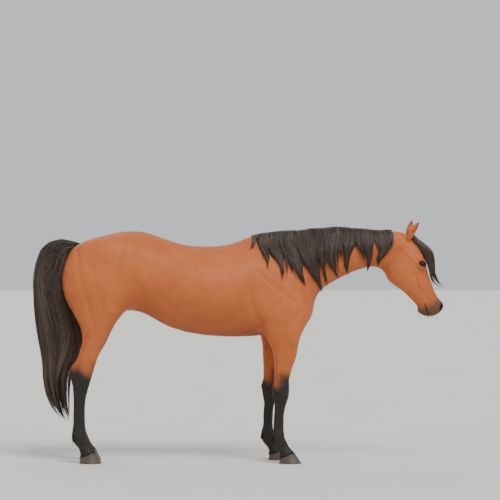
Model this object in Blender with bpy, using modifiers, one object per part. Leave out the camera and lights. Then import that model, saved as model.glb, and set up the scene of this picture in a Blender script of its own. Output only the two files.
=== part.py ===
"""A bay riding horse, life size, standing square with its neck lowered to the level of its back.

The horse faces +X, its left side is +Y and the ground is Z = 0. All sizes are in metres.

Flesh is modelled whole, the way the animal is built: a trunk and neck, a head and four legs are lofted
from cross-sections, muscles are laid over them, and a voxel remesh melts them into one body. Thin saw
cuts then part it where a horseman names the parts. Hooves, eyes, mane, forelock and tail are solids of
their own that meet the flesh with a hairline gap.
"""

import math
from collections import namedtuple

import bmesh
import bpy
import numpy as np
from mathutils import Matrix, Vector
from mathutils.bvhtree import BVHTree

# Driving sizes
POLL = Vector((1.130, 0.0, 1.532))        # top of the head, between the ears
HEAD_LENGTH = 0.600                       # poll to lips
HEAD_PITCH = math.radians(65.5)           # how far the face points below the horizon
FAR_FORE_SET_BACK = 0.070                 # the left fore stands this far behind the right one
FAR_HIND_SET_BACK = 0.020
HOOF_ASIDE = 0.125                        # each hoof's distance from the middle plane
EYE_RADIUS = 0.0235
EAR_LENGTH = 0.142
EAR_WALL = 0.006
SAW_CUT = 0.0005                          # width of the cuts that part the flesh
CLEARANCE = 0.0005                        # gap between separate solids that touch
MERGE = 0.00001                           # corners closer than this are one corner

# How finely each solid is made
VOXEL = 0.0065
HAIR_VOXEL = 0.0070
FLESH_TRIANGLES = 3900
MANE_TRIANGLES = 660
TAIL_TRIANGLES = 460

# Fullness of a section at 10, 30, 50, 70 and 90 percent of the way from its underside to its top.
# An ellipse has a fullness of 1 all the way.
OVAL = (1.00, 1.00, 1.00, 1.00, 1.00)
RUMP = (0.95, 1.00, 1.02, 1.00, 0.92)
LOIN = (0.95, 1.00, 1.02, 1.02, 0.98)
BARREL = (0.90, 1.00, 1.04, 1.00, 0.90)
GIRTH = (0.82, 0.97, 1.02, 0.94, 0.66)
WITHERS = (0.80, 0.98, 1.00, 0.84, 0.46)
BREAST = (0.85, 1.00, 0.92, 0.74, 0.44)
NECK = (0.88, 1.00, 0.98, 0.84, 0.62)
THROAT = (0.90, 1.00, 1.00, 0.92, 0.74)
NAPE = (0.85, 0.95, 1.00, 1.00, 0.85)
JOWL = (0.98, 0.97, 0.93, 0.95, 1.12)
BROW = (0.92, 0.93, 0.90, 0.98, 1.20)
FACE = (0.95, 0.95, 0.98, 1.02, 1.00)
MUZZLE = (1.02, 1.04, 1.02, 1.02, 1.00)
LIMB = (1.02, 1.02, 1.00, 1.00, 1.00)
KNEE = (0.80, 0.92, 1.05, 1.12, 1.15)
HOCK = (0.62, 0.78, 1.00, 1.12, 1.15)
TENDON = (0.95, 0.95, 0.88, 1.00, 1.08)

# One cross-section: where it meets the outline above (or in front) and below (or behind), in side view,
# its half width, its middle's distance to the side, and its fullness.
Section = namedtuple("Section", "top under half_width aside fullness")


def sections(*rows):
    """Sections from rows of (top point, under point, half width, fullness), centred on the middle plane."""
    return [Section(top, under, half, 0.0, full) for top, under, half, full in rows]


def head_point(along, out, side=0.0):
    """A point in the head's own terms: distance from the poll towards the lips, height towards the face."""
    down = Vector((math.cos(HEAD_PITCH), 0.0, -math.sin(HEAD_PITCH)))
    face = Vector((math.sin(HEAD_PITCH), 0.0, math.cos(HEAD_PITCH)))
    return POLL + HEAD_LENGTH / 0.6 * (down * along + face * out) + Vector((0.0, side, 0.0))


# ---------------------------------------------------------------- shapes and helpers

def clear_scene():
    for obj in list(bpy.data.objects):
        bpy.data.objects.remove(obj)


def material(name, colour, roughness):
    made = bpy.data.materials.new(name)
    made.use_nodes = True
    shader = made.node_tree.nodes["Principled BSDF"]
    shader.inputs["Base Color"].default_value = (*colour, 1.0)
    shader.inputs["Roughness"].default_value = roughness
    made.diffuse_color = (*colour, 1.0)
    return made


def put(name, bm, collection, look=None):
    """Makes an object of a bmesh."""
    mesh = bpy.data.meshes.new(name)
    bm.to_mesh(mesh)
    bm.free()
    obj = bpy.data.objects.new(name, mesh)
    collection.objects.link(obj)
    if look:
        mesh.materials.append(look)
    return obj


def bake(obj):
    """Applies an object's modifiers by taking its evaluated mesh."""
    graph = bpy.context.evaluated_depsgraph_get()
    made = bpy.data.meshes.new_from_object(obj.evaluated_get(graph))
    obj.modifiers.clear()
    obj.data = made


def melt(obj, voxel):
    """Joins every overlapping closed shape of an object into one skin."""
    remesh = obj.modifiers.new("melt", "REMESH")
    remesh.mode = "VOXEL"
    remesh.voxel_size = voxel
    bake(obj)


def subtract(obj, cutter, solver="EXACT"):
    cut = obj.modifiers.new("cut", "BOOLEAN")
    cut.operation = "DIFFERENCE"
    cut.solver = solver
    cut.object = cutter
    bake(obj)
    bm = bmesh.new()
    bm.from_mesh(obj.data)
    bmesh.ops.triangulate(bm, faces=bm.faces)
    bmesh.ops.remove_doubles(bm, verts=bm.verts, dist=MERGE)
    bmesh.ops.dissolve_degenerate(bm, edges=bm.edges, dist=MERGE)
    # Two faces on the same corners are a fin with no thickness.
    seen = {}
    for face in bm.faces:
        seen.setdefault(frozenset(face.verts), []).append(face)
    fins = [face for group in seen.values() if len(group) > 1 for face in group]
    bmesh.ops.delete(bm, geom=fins, context="FACES")
    bm.to_mesh(obj.data)
    bm.free()


def points_of(mesh):
    flat = np.empty(len(mesh.vertices) * 3)
    mesh.vertices.foreach_get("co", flat)
    return flat.reshape(-1, 3)


def relax(mesh, rounds, softness):
    """Moves each vertex towards the middle of its neighbours, by its own softness from 0 to 1."""
    points = points_of(mesh)
    count = len(points)
    ends = np.empty(len(mesh.edges) * 2, int)
    mesh.edges.foreach_get("vertices", ends)
    one, other = ends.reshape(-1, 2).T
    neighbours = np.bincount(one, minlength=count) + np.bincount(other, minlength=count)
    weight = softness(points)[:, None] * 0.6
    for _ in range(rounds):
        total = np.stack([
            np.bincount(one, points[other, k], count) + np.bincount(other, points[one, k], count)
            for k in range(3)
        ], 1)
        points = points + weight * (total / neighbours[:, None] - points)
    mesh.vertices.foreach_set("co", points.ravel())
    mesh.update()


def thin_out(obj, triangles, keep=None):
    """Collapses edges down to a number of triangles. keep(points) is how strongly each place is kept, 0 to 1."""
    count = sum(len(p.vertices) - 2 for p in obj.data.polygons)
    fewer = obj.modifiers.new("fewer", "DECIMATE")
    fewer.ratio = triangles / count
    if keep:
        group = obj.vertex_groups.new(name="keep")
        for index, weight in enumerate(keep(points_of(obj.data))):
            group.add([index], 1.0 - float(weight), "REPLACE")
        fewer.vertex_group = "keep"
        fewer.vertex_group_factor = 1.0
    bake(obj)
    obj.vertex_groups.clear()


def crosses_itself(mesh):
    """Whether any two triangles that share no corner cut through each other."""
    bm = bmesh.new()
    bm.from_mesh(mesh)
    tree = BVHTree.FromBMesh(bm)
    corners = [{v.index for v in f.verts} for f in bm.faces]
    bm.free()
    return any(not corners[one] & corners[other] for one, other in tree.overlap(tree) if one < other)


def thin_out_cleanly(obj, triangles):
    """Thins out to the fewest triangles, from a number upwards, that leave the skin free of self-crossings."""
    whole = obj.data
    while True:
        obj.data = whole.copy()
        thin_out(obj, triangles)
        if not crosses_itself(obj.data):
            return
        triangles = int(triangles * 1.06)


def largest_body(obj):
    """Drops every loose crumb but the largest body."""
    bm = bmesh.new()
    bm.from_mesh(obj.data)
    bodies = loose_bodies(bm)
    crumbs = [f for body in bodies[1:] for f in body]
    bmesh.ops.delete(bm, geom=crumbs, context="FACES")
    bm.to_mesh(obj.data)
    bm.free()


def loose_bodies(bm):
    """The faces of each separate body, the largest first."""
    left = set(bm.faces)
    bodies = []
    while left:
        seed = next(iter(left))
        left.discard(seed)
        body, front = [seed], [seed]
        while front:
            face = front.pop()
            for edge in face.edges:
                for near in edge.link_faces:
                    if near in left:
                        left.discard(near)
                        body.append(near)
                        front.append(near)
        bodies.append(body)
    return sorted(bodies, key=lambda body: (-len(body), body[0].index))


def smooth_through(rows, places, wanted):
    """Rows of numbers given at places, read at the wanted places along a smooth curve through them."""
    rows = np.asarray(rows, float)
    places = np.asarray(places, float)
    slopes = np.gradient(rows, places, axis=0)
    left = np.clip(np.searchsorted(places, wanted, side="right") - 1, 0, len(places) - 2)
    span = (places[left + 1] - places[left])[:, None]
    t = (wanted[:, None] - places[left][:, None]) / span
    return (
        rows[left] * (1 + 2 * t) * (1 - t) ** 2
        + rows[left + 1] * t * t * (3 - 2 * t)
        + slopes[left] * span * t * (1 - t) ** 2
        - slopes[left + 1] * span * t * t * (1 - t)
    )


def bridge(bm, rings):
    """Joins rings of vertices into a closed body with flat ends."""
    around = len(rings[0])
    for one, other in zip(rings, rings[1:]):
        for k in range(around):
            following = (k + 1) % around
            bm.faces.new((one[k], one[following], other[following], other[k]))
    bm.faces.new(rings[0][::-1])
    bm.faces.new(rings[-1])


def loft(bm, stations, count, around=28):
    """A closed skin through the sections, with count rings of around points each."""
    rows = np.array([(*s.top, *s.under, s.half_width, s.aside, *s.fullness) for s in stations])
    steps = np.linalg.norm(np.diff(rows[:, :4], axis=0), axis=1)
    places = np.concatenate([[0.0], np.cumsum(steps)])
    rings = []
    for row in smooth_through(rows, places, np.linspace(0.0, places[-1], count)):
        top, under = Vector((row[0], 0, row[1])), Vector((row[2], 0, row[3]))
        ring = []
        for step in range(around):
            angle = 2 * math.pi * step / around
            height = (1 - math.cos(angle)) / 2
            full = np.interp(height, (0.1, 0.3, 0.5, 0.7, 0.9), row[6:11])
            point = under.lerp(top, height)
            point.y = row[5] + row[4] * math.sin(angle) * full
            ring.append(bm.verts.new(point))
        rings.append(ring)
    bridge(bm, rings)


def ellipsoid(bm, centre, radii, turn=(0, 0, 0), segments=24):
    """A muscle or bone as an ellipsoid; turn is in degrees about X, Y and Z."""
    turned = [Matrix.Rotation(math.radians(a), 4, axis) for a, axis in zip(turn, "XYZ")]
    place = Matrix.Translation(centre) @ turned[2] @ turned[1] @ turned[0]
    size = Matrix.Diagonal((*radii, 1.0))
    rings = segments * 2 // 3
    bmesh.ops.create_uvsphere(bm, u_segments=segments, v_segments=rings, radius=1.0, matrix=place @ size)


def pair(bm, centre, radii, turn=(0, 0, 0)):
    """The same ellipsoid on both sides of the body."""
    for side in (1, -1):
        x, y, z = centre
        ellipsoid(bm, (x, side * y, z), radii, (side * turn[0], turn[1], side * turn[2]))


def slab(bm, start, end, low_y, high_y, thick=SAW_CUT):
    """A thin flat saw cut through the body, seen edge-on from the side as the line from start to end."""
    a, b = Vector((start[0], 0, start[1])), Vector((end[0], 0, end[1]))
    along = (b - a).normalized()
    off = Vector((along.z, 0, -along.x)) * thick / 2
    corners = []
    for y in (low_y, high_y):
        corners.append([p + Vector((0, y, 0)) for p in (a - off, b - off, b + off, a + off)])
    bridge(bm, [[bm.verts.new(p) for p in ring] for ring in corners])


# ---------------------------------------------------------------- the flesh

def trunk_and_neck(bm):
    """Rump to nape in one loft. The neck runs level, so its sections stay nearly upright."""
    spine = sections(
        ((-1.180, 1.300), (-1.186, 1.180), 0.055, OVAL),
        ((-1.150, 1.390), (-1.165, 1.080), 0.150, RUMP),
        ((-1.105, 1.448), (-1.120, 1.000), 0.212, RUMP),
        ((-1.020, 1.492), (-1.030, 0.985), 0.248, RUMP),
        ((-0.900, 1.530), (-0.900, 0.990), 0.268, RUMP),
        ((-0.760, 1.560), (-0.760, 1.012), 0.272, LOIN),
        ((-0.640, 1.553), (-0.640, 0.998), 0.262, LOIN),
        ((-0.520, 1.513), (-0.530, 0.932), 0.262, LOIN),
        ((-0.400, 1.470), (-0.405, 0.882), 0.278, BARREL),
        ((-0.270, 1.455), (-0.270, 0.854), 0.292, BARREL),
        ((-0.130, 1.457), (-0.130, 0.843), 0.290, BARREL),
        ((-0.010, 1.486), (-0.010, 0.838), 0.272, GIRTH),
        ((0.100, 1.532), (0.110, 0.838), 0.246, GIRTH),
        ((0.190, 1.556), (0.230, 0.848), 0.226, WITHERS),
        ((0.280, 1.564), (0.350, 0.868), 0.216, WITHERS),
        ((0.370, 1.570), (0.445, 0.930), 0.198, BREAST),
        ((0.450, 1.578), (0.490, 1.030), 0.172, BREAST),
        ((0.530, 1.585), (0.533, 1.115), 0.143, NECK),
        ((0.620, 1.589), (0.612, 1.182), 0.122, NECK),
        ((0.720, 1.588), (0.710, 1.240), 0.106, NECK),
        ((0.820, 1.581), (0.810, 1.285), 0.094, NECK),
        ((0.910, 1.571), (0.895, 1.300), 0.088, THROAT),
        ((1.000, 1.563), (0.975, 1.295), 0.086, THROAT),
        ((1.090, 1.550), (1.060, 1.320), 0.070, NAPE),
    )
    loft(bm, spine, 110, 36)
    # Withers: the long spines of the back between the shoulder blades.
    ellipsoid(bm, (0.170, 0, 1.486), (0.170, 0.055, 0.064), (0, -4, 0))
    # Breast: two pectoral lobes with a furrow between.
    pair(bm, (0.400, 0.085, 1.010), (0.088, 0.085, 0.130), (0, 14, 0))
    # Gluteals, the points of the hips and the tail head.
    pair(bm, (-0.870, 0.135, 1.385), (0.250, 0.120, 0.130), (0, 6, 0))
    pair(bm, (-0.640, 0.190, 1.405), (0.075, 0.060, 0.060))
    ellipsoid(bm, (-1.115, 0, 1.430), (0.060, 0.038, 0.042), (0, -30, 0))


def fore_leg(bm, side, set_back):
    """Shoulder blade to coronet. Down to the elbow it lies against the trunk."""
    def row(front, behind, half, aside, full):
        rows.append(Section(leaned(front), leaned(behind), half, side * aside, full))

    def leaned(point):
        share = min(max((0.96 - point[1]) / 0.24, 0.0), 1.0)
        return point[0] - set_back * share, point[1]

    rows = []
    row((0.245, 1.455), (0.075, 1.400), 0.045, 0.085, OVAL)
    row((0.330, 1.340), (0.075, 1.270), 0.062, 0.132, OVAL)
    row((0.405, 1.215), (0.095, 1.120), 0.072, 0.156, OVAL)
    row((0.452, 1.095), (0.120, 0.990), 0.078, 0.166, OVAL)
    row((0.462, 1.000), (0.140, 0.900), 0.080, 0.166, OVAL)
    row((0.450, 0.910), (0.165, 0.840), 0.077, 0.159, OVAL)
    row((0.420, 0.830), (0.196, 0.795), 0.068, 0.151, LIMB)
    row((0.400, 0.755), (0.218, 0.735), 0.059, 0.146, LIMB)
    row((0.376, 0.680), (0.228, 0.670), 0.052, 0.141, LIMB)
    row((0.354, 0.605), (0.230, 0.600), 0.045, 0.137, LIMB)
    row((0.341, 0.545), (0.227, 0.545), 0.044, 0.134, KNEE)
    row((0.340, 0.495), (0.217, 0.500), 0.050, 0.133, KNEE)
    row((0.338, 0.450), (0.224, 0.455), 0.049, 0.132, KNEE)
    row((0.324, 0.405), (0.234, 0.405), 0.039, 0.131, TENDON)
    row((0.308, 0.350), (0.234, 0.350), 0.031, 0.130, TENDON)
    row((0.304, 0.280), (0.229, 0.280), 0.029, 0.129, TENDON)
    row((0.304, 0.220), (0.226, 0.218), 0.031, 0.128, TENDON)
    row((0.310, 0.180), (0.216, 0.168), 0.038, 0.127, OVAL)
    row((0.324, 0.146), (0.230, 0.122), 0.037, 0.126, OVAL)
    row((0.340, 0.112), (0.262, 0.086), 0.034, 0.125, OVAL)
    row((0.360, 0.084), (0.272, 0.052), 0.040, 0.125, OVAL)
    row((0.380, 0.056), (0.276, 0.020), 0.045, 0.125, OVAL)
    loft(bm, rows, 90, 24)
    # Triceps, from the shoulder blade's back edge to the elbow; the forearm's extensor muscle.
    ellipsoid(bm, (0.205, side * 0.172, 1.070), (0.090, 0.056, 0.175), (0, 28, side * 4))
    ellipsoid(bm, (0.335 - set_back, side * 0.162, 0.785), (0.052, 0.042, 0.125), (0, -14, 0))
    # Elbow and the accessory carpal bone behind the knee.
    ellipsoid(bm, (0.178 - set_back * 0.5, side * 0.170, 0.870), (0.034, 0.026, 0.042))
    ellipsoid(bm, (0.227 - set_back, side * 0.134, 0.500), (0.017, 0.016, 0.026))
    # Point of the shoulder.
    ellipsoid(bm, (0.418, side * 0.168, 1.090), (0.052, 0.046, 0.060))


def hind_leg(bm, side, set_back):
    """Croup to coronet."""
    def row(front, behind, half, aside, full):
        rows.append(Section(leaned(front), leaned(behind), half, side * aside, full))

    def leaned(point):
        share = min(max((1.00 - point[1]) / 0.50, 0.0), 1.0)
        return point[0] - set_back * share, point[1]

    rows = []
    row((-0.660, 1.450), (-1.100, 1.405), 0.105, 0.120, OVAL)
    row((-0.650, 1.330), (-1.165, 1.300), 0.124, 0.142, OVAL)
    row((-0.665, 1.210), (-1.186, 1.190), 0.126, 0.150, OVAL)
    row((-0.715, 1.080), (-1.150, 1.080), 0.112, 0.156, OVAL)
    row((-0.790, 0.985), (-1.100, 0.980), 0.094, 0.160, LIMB)
    row((-0.840, 0.900), (-1.062, 0.895), 0.074, 0.158, LIMB)
    row((-0.880, 0.815), (-1.060, 0.800), 0.061, 0.152, LIMB)
    row((-0.920, 0.735), (-1.082, 0.715), 0.050, 0.145, LIMB)
    row((-0.948, 0.670), (-1.118, 0.650), 0.044, 0.140, HOCK)
    row((-0.964, 0.615), (-1.134, 0.600), 0.047, 0.137, HOCK)
    row((-0.982, 0.560), (-1.124, 0.550), 0.051, 0.134, HOCK)
    row((-1.000, 0.500), (-1.114, 0.495), 0.046, 0.132, HOCK)
    row((-1.016, 0.440), (-1.109, 0.440), 0.036, 0.130, TENDON)
    row((-1.023, 0.370), (-1.108, 0.370), 0.031, 0.129, TENDON)
    row((-1.024, 0.300), (-1.108, 0.300), 0.030, 0.128, TENDON)
    row((-1.024, 0.245), (-1.109, 0.240), 0.032, 0.127, TENDON)
    row((-1.018, 0.200), (-1.116, 0.184), 0.039, 0.126, OVAL)
    row((-1.003, 0.162), (-1.102, 0.136), 0.038, 0.126, OVAL)
    row((-0.988, 0.126), (-1.072, 0.098), 0.035, 0.125, OVAL)
    row((-0.970, 0.096), (-1.060, 0.064), 0.040, 0.125, OVAL)
    row((-0.952, 0.066), (-1.054, 0.030), 0.044, 0.125, OVAL)
    loft(bm, rows, 90, 24)
    # Thigh muscles: quadriceps in front, the hamstrings behind, and the kneecap.
    ellipsoid(bm, (-0.775, side * 0.190, 1.170), (0.110, 0.078, 0.190), (0, 18, 0))
    ellipsoid(bm, (-0.985, side * 0.192, 1.200), (0.140, 0.078, 0.220), (0, -12, 0))
    ellipsoid(bm, (-1.110, side * 0.120, 1.210), (0.070, 0.066, 0.170), (0, -8, 0))
    ellipsoid(bm, (-0.812, side * 0.186, 0.995), (0.048, 0.048, 0.065), (0, 24, 0))
    # Gaskin, and the point of the hock with the tendon that runs to it.
    ellipsoid(bm, (-0.935, side * 0.172, 0.865), (0.070, 0.046, 0.135), (0, 18, 0))
    ellipsoid(bm, (-1.118 - set_back, side * 0.138, 0.640), (0.020, 0.018, 0.036), (0, 8, 0))


def head(bm):
    """Skull and jaw in sections square to the face, then cheeks, brows, nostrils, lips and chin."""
    def row(top, under, half, full):
        upper, lower = head_point(*top), head_point(*under)
        rows.append(Section((upper.x, upper.z), (lower.x, lower.z), half, 0.0, full))

    rows = []
    row((-0.050, -0.060), (-0.030, -0.130), 0.050, NAPE)
    row((0.000, 0.009), (0.010, -0.150), 0.060, NAPE)
    row((0.050, 0.027), (0.060, -0.190), 0.072, NAPE)
    row((0.105, 0.042), (0.115, -0.228), 0.083, JOWL)
    row((0.160, 0.047), (0.170, -0.247), 0.091, BROW)
    row((0.215, 0.043), (0.220, -0.247), 0.093, BROW)
    row((0.270, 0.031), (0.270, -0.230), 0.084, JOWL)
    row((0.325, 0.020), (0.325, -0.204), 0.069, FACE)
    row((0.380, 0.015), (0.380, -0.179), 0.058, FACE)
    row((0.430, 0.016), (0.430, -0.159), 0.051, FACE)
    row((0.480, 0.027), (0.480, -0.145), 0.050, MUZZLE)
    row((0.525, 0.036), (0.522, -0.141), 0.051, MUZZLE)
    row((0.556, 0.026), (0.554, -0.126), 0.046, MUZZLE)
    row((0.578, -0.008), (0.576, -0.098), 0.032, MUZZLE)
    loft(bm, rows, 70, 32)

    def bone(along, out, aside, radii, turn=(0, 0, 0)):
        # Radii run along the face, sideways and towards the face.
        x, _, z = head_point(along, out)
        pitch = math.degrees(HEAD_PITCH)
        pair(bm, (x, aside, z), radii, (turn[0], pitch + turn[1], turn[2]))

    bone(0.190, -0.135, 0.054, (0.110, 0.034, 0.100))          # cheek muscle
    bone(0.225, 0.004, 0.066, (0.035, 0.0275, 0.029))          # orbit round the eye
    bone(0.192, 0.008, 0.060, (0.046, 0.030, 0.026))           # brow
    bone(0.165, -0.036, 0.056, (0.075, 0.026, 0.018), (0, -10, 0))  # cheekbone arch, from eye to jaw joint
    bone(0.305, -0.058, 0.052, (0.080, 0.017, 0.016), (0, -4, 0))  # facial crest
    bone(0.380, 0.000, 0.016, (0.170, 0.022, 0.019), (0, 1, 0))  # nasal bones
    bone(0.524, -0.006, 0.030, (0.044, 0.025, 0.036))          # nostril flare
    bone(0.552, -0.044, 0.014, (0.030, 0.030, 0.036))          # upper lip
    bone(0.538, -0.108, 0.010, (0.024, 0.026, 0.022))          # lower lip
    bone(0.502, -0.124, 0.008, (0.034, 0.024, 0.026))          # chin


def body_softness(points):
    """The trunk is smoothed most, where muscles have to melt together, and the head and feet least."""
    x, _, z = points.T
    low = np.clip((z - 0.10) / 0.85, 0.0, 1.0)
    face = np.clip((x - 0.97) / 0.10, 0.0, 1.0)
    return (0.06 + 0.94 * low ** 1.6) * (1 - 0.72 * face)


def detail_kept(points):
    """The head and the legs keep more triangles than the trunk; the neck under the mane keeps fewest."""
    x, _, z = points.T
    legs = np.clip((0.90 - z) / 0.20, 0.0, 1.0)
    face = np.clip((x - 0.95) / 0.12, 0.0, 1.0)
    return np.maximum(0.26 * legs, 0.42 * face)


def flesh(collection):
    """The whole body but the ears, in one skin of few triangles."""
    bm = bmesh.new()
    trunk_and_neck(bm)
    for side, fore_back, hind_back in ((-1, 0.0, 0.0), (1, FAR_FORE_SET_BACK, FAR_HIND_SET_BACK)):
        fore_leg(bm, side, fore_back)
        hind_leg(bm, side, hind_back)
    head(bm)
    bmesh.ops.recalc_face_normals(bm, faces=bm.faces)
    body = put("flesh", bm, collection)
    melt(body, VOXEL)
    relax(body.data, 60, body_softness)
    thin_out(body, FLESH_TRIANGLES, detail_kept)
    return body


def swollen(obj, by, collection):
    """A copy of a body with its skin moved outwards, to cut a close-fitting hollow in a neighbour."""
    mesh = obj.data.copy()
    points = points_of(mesh)
    normals = np.array([v.normal for v in mesh.vertices])
    mesh.vertices.foreach_set("co", (points + by * normals).ravel())
    mesh.update()
    copy = bpy.data.objects.new(obj.name + "_swollen", mesh)
    collection.objects.link(copy)
    return copy


# ---------------------------------------------------------------- ears, eyes and hooves

def ear_axes(side):
    """An ear's root, its axis to the tip, the way it opens and the way across. The right ear leans forward."""
    base = head_point(0.026, 0.004, side * 0.046)
    lean = 0.068 if side < 0 else 0.024
    axis = Vector((lean, side * 0.026, 0.118)).normalized() * EAR_LENGTH
    opening = Vector((0.86, side * 0.50, 0.0))
    opening = (opening - axis * opening.dot(axis) / axis.length_squared).normalized()
    return base - axis * 0.12, axis, opening, axis.normalized().cross(opening)


def ear(side, collection):
    """A pricked ear: a pointed oval, hollowed from the front to a wall a few millimetres thick."""
    base, axis, opening, across = ear_axes(side)

    def shell(bm, sizes, around, shift):
        rings = []
        for along, half in sizes:
            centre = base + axis * along + opening * (shift + 0.010 * (along - 0.4) ** 2)
            rings.append([
                bm.verts.new(
                    centre
                    + across * half * math.cos(2 * math.pi * k / around)
                    + opening * half * 0.82 * math.sin(2 * math.pi * k / around)
                )
                for k in range(around)
            ])
        bridge(bm, rings)

    outer = bmesh.new()
    outside = ((0.0, 0.023), (0.22, 0.027), (0.45, 0.0300), (0.68, 0.0255), (0.88, 0.0135), (1.0, 0.0022))
    shell(outer, outside, 12, 0.0)
    bmesh.ops.recalc_face_normals(outer, faces=outer.faces)
    obj = put("ear", outer, collection)
    inner = bmesh.new()
    hollow = ((0.28, 0.008), (0.45, 0.0300 - EAR_WALL), (0.68, 0.0255 - EAR_WALL), (0.90, 0.0045))
    shell(inner, hollow, 10, 0.0145)
    bmesh.ops.recalc_face_normals(inner, faces=inner.faces)
    cutter = put("ear_hollow", inner, collection)
    subtract(obj, cutter)
    bpy.data.objects.remove(cutter)
    return obj


def eye_centre(side):
    return head_point(0.225, 0.004, side * 0.0745)


def eyeball(side, radius, collection):
    bm = bmesh.new()
    turn = Matrix.Rotation(math.radians(90), 4, "X")
    place = Matrix.Translation(eye_centre(side)) @ turn
    bmesh.ops.create_uvsphere(bm, u_segments=12, v_segments=7, radius=radius, matrix=place)
    return put("eye", bm, collection)


# Where each coronet lies in side view (front point, back point) and where the wall meets the ground (toe, heel).
FORE_FOOT = (((0.371, 0.073), (0.276, 0.036)), (0.420, 0.262))
HIND_FOOT = (((-0.955, 0.078), (-1.056, 0.040)), (-0.916, -1.070))


def hoof(side, foot, set_back, collection):
    """A hoof wall between the coronet and the ground, with an arched sole behind a flat bearing rim."""
    (front, back), (toe, heel) = foot
    bm = bmesh.new()

    def ring(x_front, x_back, half, z_front, z_back):
        made = []
        for k in range(14):
            angle = 2 * math.pi * k / 14
            ahead = (1 + math.cos(angle)) / 2
            wide = abs(math.sin(angle)) ** 0.80 * math.copysign(1.0, math.sin(angle))
            narrower = 0.90 + 0.10 * min(1.0, ahead * 1.6)
            # The heels stand either side of a cleft.
            cleft = 0.022 * math.exp(-((angle - math.pi) / 0.30) ** 2)
            x = x_back + (x_front - x_back) * ahead + cleft - set_back
            z = z_back + (z_front - z_back) * ahead
            made.append(bm.verts.new((x, side * HOOF_ASIDE + half * wide * narrower, z)))
        return made

    middle = [(a + b) / 2 for a, b in zip((*front, *back), (toe, 0.0, heel, 0.0))]
    rings = [
        ring(toe - 0.030, heel + 0.034, 0.040, 0.010, 0.010),
        ring(toe - 0.012, heel + 0.012, 0.054, 0.0, 0.0),
        ring(toe, heel, 0.0635, 0.0, 0.0),
        ring(middle[0] + 0.001, middle[2], 0.0565, middle[1], middle[3]),
        ring(front[0], back[0], 0.0500, front[1], back[1]),
    ]
    bridge(bm, rings)
    bmesh.ops.recalc_face_normals(bm, faces=bm.faces)
    return put("hoof", bm, collection)


# ---------------------------------------------------------------- mane, forelock and tail

class Surface:
    """Finds the body's skin from outside, for hair to lie on."""

    def __init__(self, obj):
        bm = bmesh.new()
        bm.from_mesh(obj.data)
        self.tree = BVHTree.FromBMesh(bm)
        bm.free()

    def crest(self, x):
        hit = self.tree.ray_cast(Vector((x, 0, 3)), Vector((0, 0, -1)))[0]
        return hit.z

    def right_side(self, x, z):
        """The skin's distance to the right at a place in side view, or None where there is no body."""
        hit = self.tree.ray_cast(Vector((x, -2, z)), Vector((0, 1, 0)))[0]
        return hit.y if hit and hit.y < 0 else None


def lock(bm, path, widths, thicknesses, count=12, around=10):
    """A lock of hair as a flat tapering solid along a path. Width lies in side view, thickness along Y."""
    path = np.array([tuple(p) for p in path])
    places = np.linspace(0, 1, len(path))
    wanted = np.linspace(0, 1, count)
    middle = smooth_through(path, places, wanted)
    wide = np.interp(wanted, np.linspace(0, 1, len(widths)), widths)
    thick = np.interp(wanted, np.linspace(0, 1, len(thicknesses)), thicknesses)
    run = np.gradient(middle, axis=0)
    rings = []
    for centre, way, w, t in zip(middle, run, wide, thick):
        across = Vector((way[2], 0, -way[0])).normalized()
        ring = []
        for k in range(around):
            angle = 2 * math.pi * k / around
            point = Vector(centre) + across * w / 2 * math.cos(angle)
            point.y += t / 2 * math.sin(angle)
            ring.append(bm.verts.new(point))
        rings.append(ring)
    bridge(bm, rings)


# Each lock of the mane: root x at the crest, tip in side view, bend of its path and its width.
MANE_LOCKS = (
    (0.115, (0.070, 1.436), -0.010, 0.050),
    (0.150, (0.192, 1.295), -0.030, 0.075),
    (0.215, (0.291, 1.219), -0.035, 0.085),
    (0.300, (0.440, 1.176), -0.045, 0.120),
    (0.390, (0.556, 1.126), -0.045, 0.110),
    (0.455, (0.588, 1.170), -0.035, 0.090),
    (0.570, (0.670, 1.230), -0.040, 0.110),
    (0.690, (0.734, 1.250), -0.030, 0.110),
    (0.800, (0.862, 1.283), -0.030, 0.110),
    (0.890, (0.880, 1.345), 0.010, 0.110),
    (0.960, (0.934, 1.314), 0.040, 0.110),
)


def mane(surface, collection):
    """A roll of hair along the crest, and locks that fall from it on the right side."""
    bm = bmesh.new()
    crest = [(x, -0.006, surface.crest(x) - 0.006) for x in np.linspace(0.10, 1.035, 12)]
    lock(bm, crest, (0.020, 0.040, 0.046, 0.046, 0.044, 0.036, 0.020), (0.030, 0.050, 0.056, 0.050, 0.040), 36)
    for root, tip, bend, width in MANE_LOCKS:
        start = Vector((root, 0, surface.crest(root) - 0.010))
        end = Vector((tip[0], 0, tip[1]))
        path = []
        skin = 0.0
        for u in np.linspace(0, 1, 9):
            point = start.lerp(end, u)
            point.x += bend * math.sin(math.pi * u)
            skin = surface.right_side(point.x, point.z) or skin
            point.y = skin - 0.004 if u else -0.012
            path.append(point)
        shape = (0.85, 1.0, 1.0, 0.92, 0.78, 0.60, 0.40, 0.20, 0.05)
        lock(bm, path, [width * s for s in shape], (0.030, 0.034, 0.032, 0.028, 0.024, 0.018, 0.010), 22, 12)
    bmesh.ops.recalc_face_normals(bm, faces=bm.faces)
    return put("mane", bm, collection)


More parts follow.
